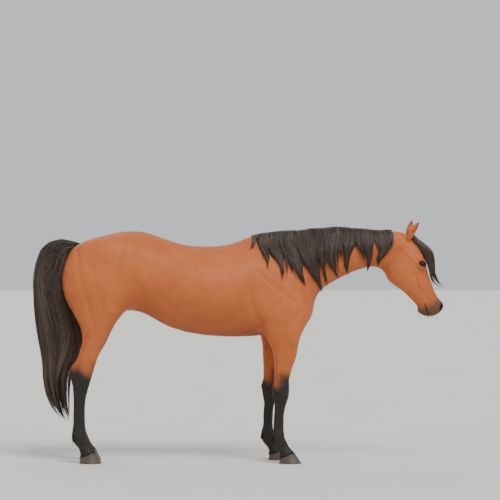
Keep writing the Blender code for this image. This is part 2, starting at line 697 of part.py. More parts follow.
def forelock(collection):
    """One thick lock that springs from between the ears, arches off the forehead and flips out at its tip."""
    bm = bmesh.new()
    rows = (
        ((1.128, 1.556), (1.128, 1.500), 0.022, 0.0, OVAL),
        ((1.160, 1.536), (1.155, 1.470), 0.032, 0.0, OVAL),
        ((1.204, 1.501), (1.190, 1.430), 0.040, -0.004, OVAL),
        ((1.262, 1.462), (1.226, 1.390), 0.044, -0.010, OVAL),
        ((1.304, 1.416), (1.256, 1.345), 0.042, -0.014, OVAL),
        ((1.316, 1.345), (1.270, 1.290), 0.036, -0.016, OVAL),
        ((1.324, 1.270), (1.286, 1.230), 0.028, -0.016, OVAL),
        ((1.352, 1.212), (1.322, 1.180), 0.018, -0.016, OVAL),
        ((1.394, 1.160), (1.388, 1.152), 0.004, -0.016, OVAL),
    )
    loft(bm, [Section(*row) for row in rows], 12, 8)
    bmesh.ops.recalc_face_normals(bm, faces=bm.faces)
    return put("forelock", bm, collection)


def tail(collection):
    """The dock carried in an arch, and the full tail that falls from it behind the legs to the fetlocks."""
    bm = bmesh.new()
    rows = (
        ((-1.060, 1.470), (-1.085, 1.390), 0.026, 0.0, OVAL),
        ((-1.130, 1.496), (-1.130, 1.400), 0.040, 0.0, OVAL),
        ((-1.200, 1.502), (-1.150, 1.375), 0.060, 0.0, OVAL),
        ((-1.272, 1.487), (-1.140, 1.320), 0.076, 0.0, OVAL),
        ((-1.334, 1.438), (-1.130, 1.265), 0.086, 0.0, OVAL),
        ((-1.372, 1.340), (-1.130, 1.205), 0.090, 0.0, OVAL),
        ((-1.388, 1.225), (-1.128, 1.130), 0.093, 0.0, OVAL),
        ((-1.382, 1.110), (-1.105, 1.040), 0.093, 0.0, OVAL),
        ((-1.370, 0.985), (-1.072, 0.950), 0.094, 0.0, OVAL),
        ((-1.358, 0.870), (-1.048, 0.850), 0.092, 0.0, OVAL),
        ((-1.342, 0.765), (-1.062, 0.760), 0.088, 0.0, OVAL),
        ((-1.332, 0.660), (-1.104, 0.670), 0.082, 0.0, OVAL),
        ((-1.326, 0.555), (-1.140, 0.580), 0.074, 0.0, OVAL),
        ((-1.306, 0.458), (-1.148, 0.480), 0.062, 0.0, OVAL),
        ((-1.270, 0.376), (-1.146, 0.390), 0.048, 0.0, OVAL),
        ((-1.215, 0.306), (-1.140, 0.310), 0.030, 0.0, OVAL),
        ((-1.150, 0.252), (-1.136, 0.250), 0.006, 0.0, OVAL),
    )
    loft(bm, [Section(*row) for row in rows], 60, 24)
    # A small stray tip.
    stray = ((-1.235, 0, 0.45), (-1.225, 0, 0.36), (-1.222, 0, 0.29), (-1.235, 0, 0.238))
    lock(bm, stray, (0.08, 0.06, 0.03, 0.005), (0.05, 0.04, 0.02, 0.005))
    bmesh.ops.recalc_face_normals(bm, faces=bm.faces)
    return put("tail", bm, collection)


# ---------------------------------------------------------------- parting the flesh

# A point inside each piece of flesh, after the saw cuts.
PIECES = {
    "head": (1.15, 0.0, 1.30),
    "neck": (0.75, 0.0, 1.42),
    "forequarters": (0.25, 0.0, 1.20),
    "barrel": (-0.30, 0.0, 1.15),
    "hindquarters": (-0.95, 0.0, 1.25),
    "forearm_right": (0.30, -0.14, 0.68),
    "forearm_left": (0.24, 0.14, 0.68),
    "fore_cannon_right": (0.27, -0.13, 0.38),
    "fore_cannon_left": (0.20, 0.13, 0.38),
    "fore_pastern_right": (0.29, -0.125, 0.13),
    "fore_pastern_left": (0.22, 0.125, 0.13),
    "gaskin_right": (-0.96, -0.15, 0.82),
    "gaskin_left": (-0.97, 0.15, 0.82),
    "hind_cannon_right": (-1.06, -0.13, 0.47),
    "hind_cannon_left": (-1.08, 0.13, 0.47),
    "hind_pastern_right": (-1.04, -0.125, 0.13),
    "hind_pastern_left": (-1.06, 0.125, 0.13),
}


def saw_cuts(collection):
    """Every cut that parts the flesh, in one cutter: the planes between regions, the coronets and the eyes."""
    bm = bmesh.new()
    slab(bm, (1.066, 1.62), (0.925, 1.22), -0.2, 0.2)            # behind the jaw
    slab(bm, (0.350, 1.66), (0.508, 0.98), -0.3, 0.3)            # neck from shoulder
    slab(bm, (0.050, 1.62), (0.050, 0.78), -0.4, 0.4)            # behind the elbow
    slab(bm, (-0.585, 1.62), (-0.735, 0.955), -0.4, 0.4)         # in front of hip and stifle
    for side, fore_back, hind_back in ((-1, 0.0, 0.0), (1, FAR_FORE_SET_BACK, FAR_HIND_SET_BACK)):
        low, high = sorted((side * 0.02, side * 0.30))
        slab(bm, (0.080, 0.800), (0.520, 0.800), low, high)
        slab(bm, (0.180 - fore_back, 0.565), (0.420 - fore_back, 0.565), low, high)
        slab(bm, (0.170 - fore_back, 0.205), (0.360 - fore_back, 0.232), low, high)
        slab(bm, (-1.240, 0.948), (-0.748, 0.948), low, high)
        slab(bm, (-1.180 - hind_back, 0.676), (-0.880 - hind_back, 0.700), low, high)
        slab(bm, (-1.180 - hind_back, 0.216), (-0.950 - hind_back, 0.250), low, high)
        for (front, back), back_by in ((FORE_FOOT[0], fore_back), (HIND_FOOT[0], hind_back)):
            a = Vector((front[0] - back_by, front[1] + CLEARANCE))
            b = Vector((back[0] - back_by, back[1] + CLEARANCE))
            reach = (a - b).normalized() * 0.06
            drop = Vector((reach.y, -reach.x)) * 1.2
            slab(bm, b - reach + drop, a + reach + drop, low, high, thick=drop.length * 2)
    bmesh.ops.recalc_face_normals(bm, faces=bm.faces)
    return put("saw_cuts", bm, collection)


def part_flesh(body, collection, look):
    """Splits the sawn flesh into its bodies and names each by the nearest inner point."""
    bm = bmesh.new()
    bm.from_mesh(body.data)
    bm.faces.index_update()
    bodies = loose_bodies(bm)[: len(PIECES)]
    middles = []
    for faces in bodies:
        points = np.array([v.co for f in faces for v in f.verts])
        middles.append((points.min(0) + points.max(0)) / 2)
    for name, seed in PIECES.items():
        nearest = min(range(len(bodies)), key=lambda k: np.linalg.norm(middles[k] - np.array(seed)))
        piece = bmesh.new()
        made = {}
        for face in bodies[nearest]:
            corners = []
            for v in face.verts:
                if v not in made:
                    made[v] = piece.verts.new(v.co)
                corners.append(made[v])
            piece.faces.new(corners)
        put(name, piece, collection, look)
    bm.free()
    bpy.data.objects.remove(body)


def centre_over_origin(collection):
    """Puts the origin on the ground under the middle of the whole horse."""
    ends = np.concatenate([points_of(obj.data) for obj in collection.objects])
    middle = (ends.min(0) + ends.max(0)) / 2
    for obj in collection.objects:
        obj.data.transform(Matrix.Translation((-middle[0], -middle[1], 0.0)))


def main():
    clear_scene()
    horse = bpy.data.collections.new("horse")
    bpy.context.scene.collection.children.link(horse)
    coat = material("bay_coat", (0.52, 0.16, 0.06), 0.55)
    hair = material("black_hair", (0.055, 0.040, 0.034), 0.60)
    horn = material("hoof_horn", (0.15, 0.10, 0.07), 0.45)
    wet = material("dark_eye", (0.02, 0.008, 0.003), 0.08)

    body = flesh(horse)
    surface = Surface(body)
    close_fit = swollen(body, CLEARANCE, horse)
    for side, name in ((1, "left"), (-1, "right")):
        made = ear(side, horse)
        subtract(made, close_fit)
        largest_body(made)
        made.name = "ear_" + name
        made.data.materials.append(coat)
    ears_fit = [swollen(bpy.data.objects["ear_" + name], CLEARANCE, horse) for name in ("left", "right")]

    for made, triangles in ((mane(surface, horse), MANE_TRIANGLES), (tail(horse), TAIL_TRIANGLES)):
        melt(made, HAIR_VOXEL)
        largest_body(made)
        relax(made.data, 3, lambda points: np.ones(len(points)))
        thin_out_cleanly(made, triangles)
        subtract(made, close_fit, "MANIFOLD")
        largest_body(made)
        made.data.materials.append(hair)
    front = forelock(horse)
    for fit in (close_fit, *ears_fit):
        subtract(front, fit)
    largest_body(front)
    front.data.materials.append(hair)

    for side, name, fore_back, hind_back in (
        (1, "left", FAR_FORE_SET_BACK, FAR_HIND_SET_BACK),
        (-1, "right", 0.0, 0.0),
    ):
        for foot, back, which in ((FORE_FOOT, fore_back, "fore_hoof_"), (HIND_FOOT, hind_back, "hind_hoof_")):
            made = hoof(side, foot, back, horse)
            made.name = which + name
            made.data.materials.append(horn)
        made = eyeball(side, EYE_RADIUS, horse)
        made.name = "eye_" + name
        made.data.materials.append(wet)
        socket = eyeball(side, EYE_RADIUS + CLEARANCE, horse)
        subtract(body, socket)
        bpy.data.objects.remove(socket)

    cuts = saw_cuts(horse)
    subtract(body, cuts)
    part_flesh(body, horse, coat)
    for spare in [cuts, close_fit, *ears_fit]:
        bpy.data.objects.remove(spare)
    centre_over_origin(horse)


main()
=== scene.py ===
"""A bay horse, life size and still: skin, eyes, hooves, mane, forelock, tail and coat over its frame."""
import math

import bmesh
import bpy
import numpy as np
from mathutils import Matrix, Vector
from mathutils.bvhtree import BVHTree


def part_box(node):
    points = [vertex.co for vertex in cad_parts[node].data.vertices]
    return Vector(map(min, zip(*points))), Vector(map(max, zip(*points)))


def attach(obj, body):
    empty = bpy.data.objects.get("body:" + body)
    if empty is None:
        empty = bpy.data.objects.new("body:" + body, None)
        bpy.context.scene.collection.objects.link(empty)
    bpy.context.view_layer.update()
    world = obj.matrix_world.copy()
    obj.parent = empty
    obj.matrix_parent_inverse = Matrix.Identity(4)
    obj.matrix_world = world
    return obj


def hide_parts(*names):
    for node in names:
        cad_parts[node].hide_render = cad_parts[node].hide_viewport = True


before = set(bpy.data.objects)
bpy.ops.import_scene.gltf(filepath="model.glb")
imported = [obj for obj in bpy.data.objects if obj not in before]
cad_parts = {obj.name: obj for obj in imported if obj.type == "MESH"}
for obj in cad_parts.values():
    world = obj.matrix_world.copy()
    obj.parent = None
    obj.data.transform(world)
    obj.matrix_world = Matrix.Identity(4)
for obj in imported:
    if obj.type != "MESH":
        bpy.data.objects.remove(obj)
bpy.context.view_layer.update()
scene = bpy.context.scene

# ------------------------------------------------------------------ camera, floor and light
# A long lens square to the horse's right side, a pale studio floor, one large soft lamp high at the
# front and a weaker one behind, in an even pale room.

CAMERA_PLACE = (0.0719, -14.0, 1.4252)
CAMERA_LENS, CAMERA_FILM, CAMERA_REACH = 149.6, 36.0, 200.0
FLOOR_RADIUS = 60.0
camera = bpy.data.objects.new("camera", bpy.data.cameras.new("camera"))
camera.data.lens = CAMERA_LENS
camera.data.sensor_width = CAMERA_FILM
camera.data.clip_end = CAMERA_REACH
camera.location = CAMERA_PLACE
camera.rotation_euler = (math.radians(90), 0, 0)
scene.collection.objects.link(camera)
scene.camera = camera


def linear(hex_colour):
    """An sRGB hex colour as the linear values that a shader takes."""
    parts = [int(hex_colour[k:k + 2], 16) / 255 for k in (1, 3, 5)]
    return tuple(p / 12.92 if p <= 0.04045 else ((p + 0.055) / 1.055) ** 2.4 for p in parts) + (1.0,)


class Surface:
    """A material under way: its tree, its shader, and short ways to add the nodes that it needs."""

    def __init__(self, name):
        self.material = bpy.data.materials.new(name)
        self.material.use_nodes = True
        self.tree = self.material.node_tree
        self.shader = self.tree.nodes["Principled BSDF"]

    def fill(self, node, inputs):
        """Gives a node's inputs their values, or links them to other nodes' outputs."""
        for key, value in inputs.items():
            if isinstance(value, bpy.types.NodeSocket):
                self.tree.links.new(value, node.inputs[key])
            else:
                node.inputs[key].default_value = value

    def node(self, kind, inputs=None, **settings):
        added = self.tree.nodes.new(kind)
        for key, value in settings.items():
            setattr(added, key, value)
        self.fill(added, inputs or {})
        return added

    def place(self):
        return self.node("ShaderNodeTexCoord").outputs["Object"]

    def stored(self, name, output="Fac"):
        """What the mesh carries under a name."""
        return self.node("ShaderNodeAttribute", attribute_name=name).outputs[output]

    def stretched(self, place, scales, turn=(0, 0, 0)):
        """A place turned and scaled, for noise that is drawn out along a direction."""
        inputs = {"Vector": place, "Rotation": turn, "Scale": scales}
        return self.node("ShaderNodeMapping", inputs).outputs["Vector"]

    def noise(self, place, scale, detail, **more):
        inputs = {"Vector": place, "Scale": scale, "Detail": detail, **more}
        return self.node("ShaderNodeTexNoise", inputs).outputs["Fac"]

    def spread(self, value, start=0.0, end=1.0, low=0.0, high=1.0):
        """A value carried over from its range, start to end, to the range low to high."""
        inputs = {"Value": value, "From Min": start, "From Max": end, "To Min": low, "To Max": high}
        return self.node("ShaderNodeMapRange", inputs).outputs["Result"]

    def mixed(self, factor, one, other):
        """A colour between two others, each a hex colour or another node's output."""
        one, other = (linear(colour) if isinstance(colour, str) else colour for colour in (one, other))
        inputs = {"Factor": factor, "A": one, "B": other}
        return self.node("ShaderNodeMix", inputs, data_type="RGBA").outputs["Result"]

    def blended(self, factor, one, other):
        """A value between two others."""
        return self.node("ShaderNodeMix", {"Factor": factor, "A": one, "B": other}).outputs[0]

    def sums(self, operation, *values):
        """One value worked out from others."""
        return self.node("ShaderNodeMath", dict(enumerate(values)), operation=operation).outputs["Value"]


def make_object(name, bm, *materials):
    """A smooth-shaded object of a bmesh, whose points lie at their places in the world."""
    mesh = bpy.data.meshes.new(name)
    bm.to_mesh(mesh)
    bm.free()
    obj = bpy.data.objects.new(name, mesh)
    scene.collection.objects.link(obj)
    for one in materials:
        mesh.materials.append(one)
    mesh.shade_smooth()
    return obj


# Studio floor: matt painted board.
floor_paint = Surface("matt_floor_paint")
mottle = floor_paint.noise(floor_paint.place(), 1.5, 4.0)
floor_paint.fill(floor_paint.shader, {"Base Color": floor_paint.mixed(mottle, "#d9d6cf", "#e2dfd9"),
                                      "Roughness": 0.9})
bm = bmesh.new()
bmesh.ops.create_circle(bm, cap_ends=True, segments=64, radius=FLOOR_RADIUS)
floor = make_object("floor", bm, floor_paint.material)


def soft_lamp(name, toward, softness, power):
    """A far soft lamp that shines along a direction. Softness is its width in degrees."""
    lamp = bpy.data.lights.new(name, "SUN")
    lamp.angle = math.radians(softness)
    lamp.energy = power
    obj = bpy.data.objects.new(name, lamp)
    obj.rotation_euler = Vector(toward).to_track_quat("-Z", "Y").to_euler()
    scene.collection.objects.link(obj)


soft_lamp("key_lamp", (-0.35, 0.75, -1.0), 28, 2.3)
soft_lamp("back_lamp", (0.5, -0.9, -0.8), 40, 0.5)
world = bpy.data.worlds.new("pale_room")
world.use_nodes = True
world.node_tree.nodes["Background"].inputs["Color"].default_value = linear("#e6ebef")
world.node_tree.nodes["Background"].inputs["Strength"].default_value = 0.85
scene.world = world

# ------------------------------------------------------------------ skin
# One unbroken skin over head, ears, neck, trunk and legs, as the living hide is, with its short flat
# coat. It is drawn over the solid flesh, swollen a little so that the thin cuts close, melted into one
# body, relaxed, drawn in by the depth of the coat, and then given its folds, veins, tendons and lids.

SIDES = ((1, "_left"), (-1, "_right"))
LIMBS = ("forearm", "fore_cannon", "fore_pastern", "gaskin", "hind_cannon", "hind_pastern")
FLESH = ["head", "neck", "forequarters", "barrel", "hindquarters"]
FLESH += [part + ending for _, ending in SIDES for part in ("ear", "eye") + LIMBS]
COAT_DEPTH = 0.0015
SWELL = 0.0010
SKIN_GRAIN = 0.0036               # of the first mesh, which the melting makes
SKIN_TRIANGLES = 118000           # left of it, before the fine places are split again
RELAXING = ((0.85, 40), (-0.87, 20), (0.85, 40), (-0.87, 20))      # how hard each pass draws, and its rounds
LONGEST_EDGE, FINE_EDGE, LID_EDGE = 0.030, 0.0034, 0.0020
SPLITTINGS = 3                    # rounds of splitting the edges that are too long
EVENING, EVENING_ROUNDS = 0.6, 5
ROUNDING, ROUNDING_ROUNDS = 0.65, 26


def node_copy(name, swell=0.0):
    """A merged copy of a solid's mesh as a bmesh, moved outwards by swell."""
    made = bmesh.new()
    made.from_mesh(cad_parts[name].data)
    bmesh.ops.remove_doubles(made, verts=made.verts, dist=1e-5)
    made.normal_update()
    for vertex in made.verts:
        vertex.co += vertex.normal * swell
    return made


def with_modifiers(obj):
    """Applies an object's modifiers."""
    graph = bpy.context.evaluated_depsgraph_get()
    made = bpy.data.meshes.new_from_object(obj.evaluated_get(graph))
    obj.modifiers.clear()
    old, obj.data = obj.data, made
    bpy.data.meshes.remove(old)


def rows_of(items, key, width, kind=np.float32):
    """One property of many items, a row for each."""
    flat = np.empty(len(items) * width, kind)
    items.foreach_get(key, flat)
    return flat.reshape(-1, width)


def points_of(mesh):
    return rows_of(mesh.vertices, "co", 3).astype(float)


def normals_of(mesh):
    return rows_of(mesh.vertex_normals, "vector", 3).astype(float)


def move_points(mesh, points):
    mesh.vertices.foreach_set("co", points.astype(np.float32).ravel())
    mesh.update()


def ends_of(mesh):
    return rows_of(mesh.edges, "vertices", 2, np.int32).T


def averaged(values, ends, rounds, weight):
    """Draws each vertex's values towards the middle of its neighbours' by its own weight, some rounds."""
    one, other = ends
    count = len(values)
    near = np.bincount(one, minlength=count) + np.bincount(other, minlength=count)
    near = np.maximum(near, 1)[:, None]
    for _ in range(rounds):
        total = np.stack([np.bincount(one, values[other, k], count)
                          + np.bincount(other, values[one, k], count)
                          for k in range(values.shape[1])], 1)
        values = values + weight[:, None] * (total / near - values)
    return values


def ramp(value, start, end):
    """0 up to start, 1 from end on, and a smooth change between. End may be below start."""
    t = np.clip((np.asarray(value, float) - start) / (end - start), 0.0, 1.0)
    return t * t * (3 - 2 * t)


def bell(value, width, middle=0.0):
    """1 where a value is at its middle, falling away on both sides within about a width."""
    return np.exp(-((value - middle) / width) ** 2)


whole = bmesh.new()
for name in FLESH:
    part = node_copy(name, SWELL)
    loose = bpy.data.meshes.new(name)
    part.to_mesh(loose)
    part.free()
    whole.from_mesh(loose)
    bpy.data.meshes.remove(loose)
skin = make_object("skin", whole)
melt = skin.modifiers.new("melt", "REMESH")
melt.mode = "VOXEL"
melt.voxel_size = SKIN_GRAIN
with_modifiers(skin)
points, ends = points_of(skin.data), ends_of(skin.data)
x, y, z = points.T
trunk = ramp(z, 0.55, 0.95) * (1 - ramp(x, 0.93, 1.04))
ears = ramp(z, 1.545, 1.57) * ramp(x, 1.08, 1.10)
softness = (0.10 + 0.50 * trunk + 0.08 * ramp(x, 0.95, 1.05)) * (1 - 0.8 * ears)
for pull, rounds in RELAXING:
    points = averaged(points, ends, rounds, softness * pull)
move_points(skin.data, points)
points = points - normals_of(skin.data) * (COAT_DEPTH + SWELL)
move_points(skin.data, points)


def thin_out(obj, triangles, keep):
    """Collapses edges down to a number of triangles. keep is how strongly each vertex is kept, 0 to 1."""
    fewer = obj.modifiers.new("fewer", "DECIMATE")
    fewer.ratio = triangles / sum(len(p.vertices) - 2 for p in obj.data.polygons)
    group = obj.vertex_groups.new(name="keep")
    levels = np.round(keep * 20).astype(int)
    for level in range(21):
        group.add(np.flatnonzero(levels == level).tolist(), 1.0 - level / 20, "REPLACE")
    fewer.vertex_group = "keep"
    fewer.vertex_group_factor = 1.0
    with_modifiers(obj)
    obj.vertex_groups.clear()


def refine(mesh, longest):
    """Splits every edge that is longer than the length wanted at its middle, longest(middles)."""
    bm = bmesh.new()
    bm.from_mesh(mesh)
    points = np.array([v.co for v in bm.verts])
    ends = np.array([[v.index for v in e.verts] for e in bm.edges])
    middles = points[ends].mean(axis=1)
    lengths = np.linalg.norm(points[ends[:, 0]] - points[ends[:, 1]], axis=1)
    chosen = lengths > longest(middles)
    edges = [edge for edge, pick in zip(bm.edges, chosen) if pick]
    bmesh.ops.subdivide_edges(bm, edges=edges, cuts=1)
    bmesh.ops.triangulate(bm, faces=bm.faces)
    bm.to_mesh(mesh)
    bm.free()


EYES = {side: sum((Vector(corner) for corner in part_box("eye" + ending)), Vector()) / 2
        for side, ending in SIDES}
HEAD_PITCH = math.radians(65.5)
HEAD_DOWN = np.array((math.cos(HEAD_PITCH), 0.0, -math.sin(HEAD_PITCH)))
HEAD_FRONT = np.array((math.sin(HEAD_PITCH), 0.0, math.cos(HEAD_PITCH)))
EYE_ALONG, EYE_OUT = 0.225, 0.004


def head_places(points):
    """Each point's distance from the poll towards the lips, and its height towards the face."""
    from_eye = points - np.array(EYES[1])
    return EYE_ALONG + from_eye @ HEAD_DOWN, EYE_OUT + from_eye @ HEAD_FRONT


def near_eye(points):
    """The distance to the nearer eye's middle."""
    return np.minimum(*(np.linalg.norm(points - np.array(centre), axis=1) for centre in EYES.values()))


def near_mouth(points):
    """The distance to the nearer of nostril and lips, in side view."""
    along, out = head_places(points)
    nostril = np.hypot(along - 0.54, out - 0.004)
    lips = np.hypot(np.maximum(0.505 - along, 0), out + 0.086)
    return np.minimum(nostril - 0.012, lips)


def finest(points):
    """The longest edge wanted at each place: fine at lids, nostrils and lips, and long on the trunk."""
    x, y, z = points.T
    head = ramp(x, 0.96, 1.05)
    wanted = LONGEST_EDGE - 0.020 * ramp(z, 0.95, 0.60) - 0.024 * head
    by_eye = near_eye(points)
    wanted = np.where((by_eye < 0.045) | (near_mouth(points) < 0.030) & (head > 0.9), FINE_EDGE, wanted)
    return np.where(by_eye < 0.031, LID_EDGE, wanted)


x, y, z = points.T
keep = 0.10 + 0.42 * ramp(z, 0.85, 0.55) + 0.75 * ramp(x, 0.96, 1.06)
thin_out(skin, SKIN_TRIANGLES, np.clip(keep, 0, 1))
for _ in range(SPLITTINGS):
    refine(skin.data, finest)
    # The new corners are spread evenly along the skin, so that no face is a sliver.
    points, normals = points_of(skin.data), normals_of(skin.data)
    moved = averaged(points, ends_of(skin.data), EVENING_ROUNDS, np.full(len(points), EVENING)) - points
    points += moved - normals * (moved * normals).sum(1)[:, None]
    move_points(skin.data, points)
# The broad flats of the solid flesh are rounded over trunk, neck and upper legs. What the rounding takes
# off the bulk is smoothed too, and given back.
points, ends = points_of(skin.data), ends_of(skin.data)
x, y, z = points.T
broad = ROUNDING * (0.12 + 0.88 * ramp(z, 0.46, 0.84)) * ramp(z, 0.30, 0.40) * (1 - ramp(x, 0.96, 1.05))
for _ in range(2):
    rounded = averaged(points, ends, ROUNDING_ROUNDS, broad)
    points = rounded + averaged(points - rounded, ends, ROUNDING_ROUNDS, broad)
move_points(skin.data, points)

# Folds and muscles. Each mark is a line or a spot in side view with a height (raised over 0, pressed
# under 0) and a half width, both in millimetres, and shows on both sides of the body. The left legs
# stand further back than the right ones, and their marks move with them.
FORE_SET_BACK, HIND_SET_BACK = 0.070, 0.020
FRAME_SHIFT = -0.003              # from the marks' own place to the frame's
TRUNK_MARKS = (
    # neck
    (-3, 25, (0.95, 1.49), (0.75, 1.50), (0.50, 1.49), (0.36, 1.44)),
    (-4, 18, (1.00, 1.42), (0.85, 1.40), (0.65, 1.34), (0.50, 1.24), (0.43, 1.14)),
    (-7, 14, (0.97, 1.345), (0.85, 1.325), (0.70, 1.27), (0.56, 1.175), (0.49, 1.09)),
    (3, 15, (0.90, 1.31), (0.70, 1.245), (0.56, 1.14)),
    (4, 35, (0.62, 1.41), (0.46, 1.33)),
    # shoulder and upper arm
    (5, 14, (0.20, 1.45), (0.28, 1.33), (0.36, 1.20)),
    (4, 22, (0.27, 1.45), (0.36, 1.30), (0.42, 1.18)),
    (4, 24, (0.15, 1.42), (0.24, 1.29), (0.32, 1.17)),
    (-7, 17, (0.33, 1.47), (0.41, 1.34), (0.47, 1.20), (0.485, 1.12)),
    (-5, 16, (0.10, 1.30), (0.20, 1.21), (0.30, 1.13), (0.375, 1.07)),
    (-9, 19, (0.085, 1.27), (0.075, 1.12), (0.105, 1.00), (0.155, 0.92)),
    (-3, 14, (0.16, 1.20), (0.20, 1.08), (0.225, 0.98)),
    (5, 26, (0.430, 1.090),),
    (-6, 16, (0.415, 1.03), (0.35, 0.95), (0.27, 0.90)),
    (4, 18, (0.165, 0.90),),
    # ribs, belly and flank
    (2, 30, (0.06, 1.32), (-0.15, 1.22), (-0.30, 1.10)),
    (-4, 24, (-0.10, 0.90), (-0.30, 0.95), (-0.46, 1.04), (-0.56, 1.16), (-0.60, 1.28)),
    (-10, 60, (-0.585, 1.33),),
    (6, 16, (-0.735, 1.00), (-0.69, 1.08), (-0.655, 1.16), (-0.64, 1.24)),
    (-6, 18, (-0.76, 1.06), (-0.71, 1.15), (-0.69, 1.25)),
    (2, 6, (0.05, 0.93), (-0.10, 0.915), (-0.28, 0.925)),
    (-3, 26, (-0.02, 1.38), (-0.25, 1.34), (-0.50, 1.38), (-0.62, 1.42)),
    # hip, rump and thigh
    (8, 30, (-0.645, 1.435),),
    (5, 22, (-0.66, 1.40), (-0.715, 1.25), (-0.78, 1.10)),
    (-6, 18, (-0.78, 1.42), (-0.80, 1.28), (-0.83, 1.14), (-0.845, 1.04)),
    (-7, 16, (-1.075, 1.42), (-1.055, 1.28), (-1.02, 1.13), (-0.985, 1.00), (-0.965, 0.92)),
    (-3, 16, (-0.96, 1.30), (-0.93, 1.14), (-0.90, 1.02)),
    (4, 70, (-0.88, 1.42),),
    (4, 30, (-1.145, 1.30),),
    (6, 20, (-0.815, 1.01),),
    (-3, 12, (-0.80, 0.96), (-0.83, 0.92)),
)
FORE_LEG_MARKS = (
    (4, 18, (0.37, 0.90), (0.36, 0.80)),
    (-3, 12, (0.345, 0.80), (0.335, 0.66), (0.318, 0.56)),
    (-4, 12, (0.30, 0.86), (0.282, 0.70), (0.272, 0.57)),
    (-3, 10, (0.25, 0.80), (0.245, 0.66), (0.24, 0.57)),
    (-2, 7, (0.235, 0.548), (0.335, 0.548)),
    (2.5, 14, (0.288, 0.518),), (2, 13, (0.285, 0.468),), (2, 11, (0.325, 0.500),),
    (-1.5, 5, (0.245, 0.492), (0.335, 0.490)),
    (-4, 6.5, (0.262, 0.425), (0.259, 0.33), (0.258, 0.23)),
    (-2, 4, (0.244, 0.41), (0.242, 0.32), (0.240, 0.235)),
    (2.5, 12, (0.232, 0.195),), (2, 12, (0.285, 0.195),),
    (-2.5, 12, (0.275, 0.135), (0.295, 0.105)),
)
HIND_LEG_MARKS = (
    (-4, 13, (-0.90, 0.94), (-0.935, 0.86), (-0.965, 0.78), (-0.99, 0.71)),
    (-3, 12, (-1.00, 0.93), (-1.015, 0.86)),
    (-9, 12, (-1.005, 0.85), (-1.03, 0.80), (-1.052, 0.735), (-1.068, 0.69)),
    (3, 16, (-1.01, 0.645),), (-2, 8, (-0.99, 0.605), (-1.07, 0.60)), (2.5, 14, (-1.02, 0.562),),
    (1.5, 5, (-0.965, 0.74), (-0.985, 0.62), (-1.00, 0.55)),
    (-3, 8, (-1.10, 0.60), (-1.09, 0.52)),
    (-4, 6.5, (-1.068, 0.50), (-1.064, 0.38), (-1.063, 0.26)),
    (-2, 4, (-1.084, 0.48), (-1.083, 0.36), (-1.082, 0.26)),
    (2.5, 12, (-1.104, 0.205),), (2, 12, (-1.045, 0.205),),
    (-2.5, 12, (-1.050, 0.145), (-1.030, 0.115)),
)
# On the head the lines are in distances from the poll along the face and out from it.
HEAD_MARKS = (
    (-5, 17, (0.150, 0.016),),                                            # hollow over the eye
    (3, 9, (0.200, -0.022), (0.150, -0.040), (0.105, -0.055)),            # cheekbone arch
    (3.5, 8, (0.250, -0.046), (0.300, -0.052), (0.365, -0.060)),          # facial crest
    (-3, 12, (0.265, -0.066), (0.330, -0.076), (0.380, -0.080)),
    (-2.5, 12, (0.258, -0.085), (0.282, -0.135), (0.286, -0.200)),        # front of the cheek muscle
    (5, 45, (0.185, -0.170),),
    (-6, 14, (0.078, -0.090), (0.084, -0.125), (0.106, -0.180), (0.150, -0.250)),   # behind the jaw
    (3, 16, (0.108, -0.110), (0.116, -0.145), (0.140, -0.195), (0.180, -0.245)),    # edge of the jaw
    (-2.2, 4, (0.142, -0.002), (0.160, -0.008), (0.180, 0.000), (0.190, 0.012)),    # fold of the brow
    (1.0, 4.0, (0.286, -0.206), (0.300, -0.165), (0.318, -0.125), (0.322, -0.085), (0.345, -0.052),
     (0.395, -0.034)),                                                     # facial vein
    (-2.5, 12, (0.285, -0.012), (0.380, -0.012), (0.470, -0.010)),        # beside the nasal bone
    (2, 9, (0.300, -0.034), (0.400, -0.030), (0.490, -0.004)),            # lifter of the lip
    (-2.5, 11, (0.400, -0.070), (0.470, -0.052)),
    (-3, 11, (0.360, -0.150), (0.440, -0.120)),                           # above the jaw bar
    (1.5, 5, (0.500, -0.074), (0.560, -0.078)), (1.5, 5, (0.510, -0.100), (0.560, -0.102)),
    (-1.6, 2.4, (0.476, -0.062), (0.482, -0.077), (0.479, -0.092)),
    (-1.2, 2.2, (0.466, -0.058), (0.471, -0.076), (0.468, -0.094)),
    (-4, 11, (0.474, -0.140),),                                           # chin groove
)
# Broad rises and hollows that also show in the outline: height, middle along and out, and reach of each.
HEAD_SWELLS = (
    (0.009, 0.512, -0.135, 0.030, 0.030),                                 # chin
    (0.007, 0.215, -0.262, 0.055, 0.050),                                 # round of the jaw
    (-0.007, 0.355, -0.205, 0.045, 0.040),                                # bars before the jaw
)
MOUTH_LINE = ((0.478, -0.088), (0.500, -0.092), (0.540, -0.094), (0.605, -0.088))


def from_line(a, b, line):
    """The distance of each place (a, b) from a line of places, or from a single spot."""
    if len(line) == 1:
        return np.hypot(a - line[0][0], b - line[0][1])
    best = np.full(len(a), 1e9)
    for (a0, b0), (a1, b1) in zip(line, line[1:]):
        da, db = a1 - a0, b1 - b0
        t = np.clip(((a - a0) * da + (b - b0) * db) / (da * da + db * db), 0, 1)
        best = np.minimum(best, np.hypot(a - a0 - t * da, b - b0 - t * db))
    return best


def relief(a, b, marks):
    """The summed height in metres of all marks at each place (a, b)."""
    height = np.zeros(len(a))
    for rise, half_width, *line in marks:
        height += rise / 1000 * bell(from_line(a, b, line), half_width / 1000)
    return height


# The plane where the skin meets the horn, in side view: the back of each coronet and how steeply it rises.
FORE_CORONET = (0.276, 0.036, (0.073 - 0.036) / 0.095)
HIND_CORONET = (-1.056, 0.040, (0.078 - 0.040) / 0.101)


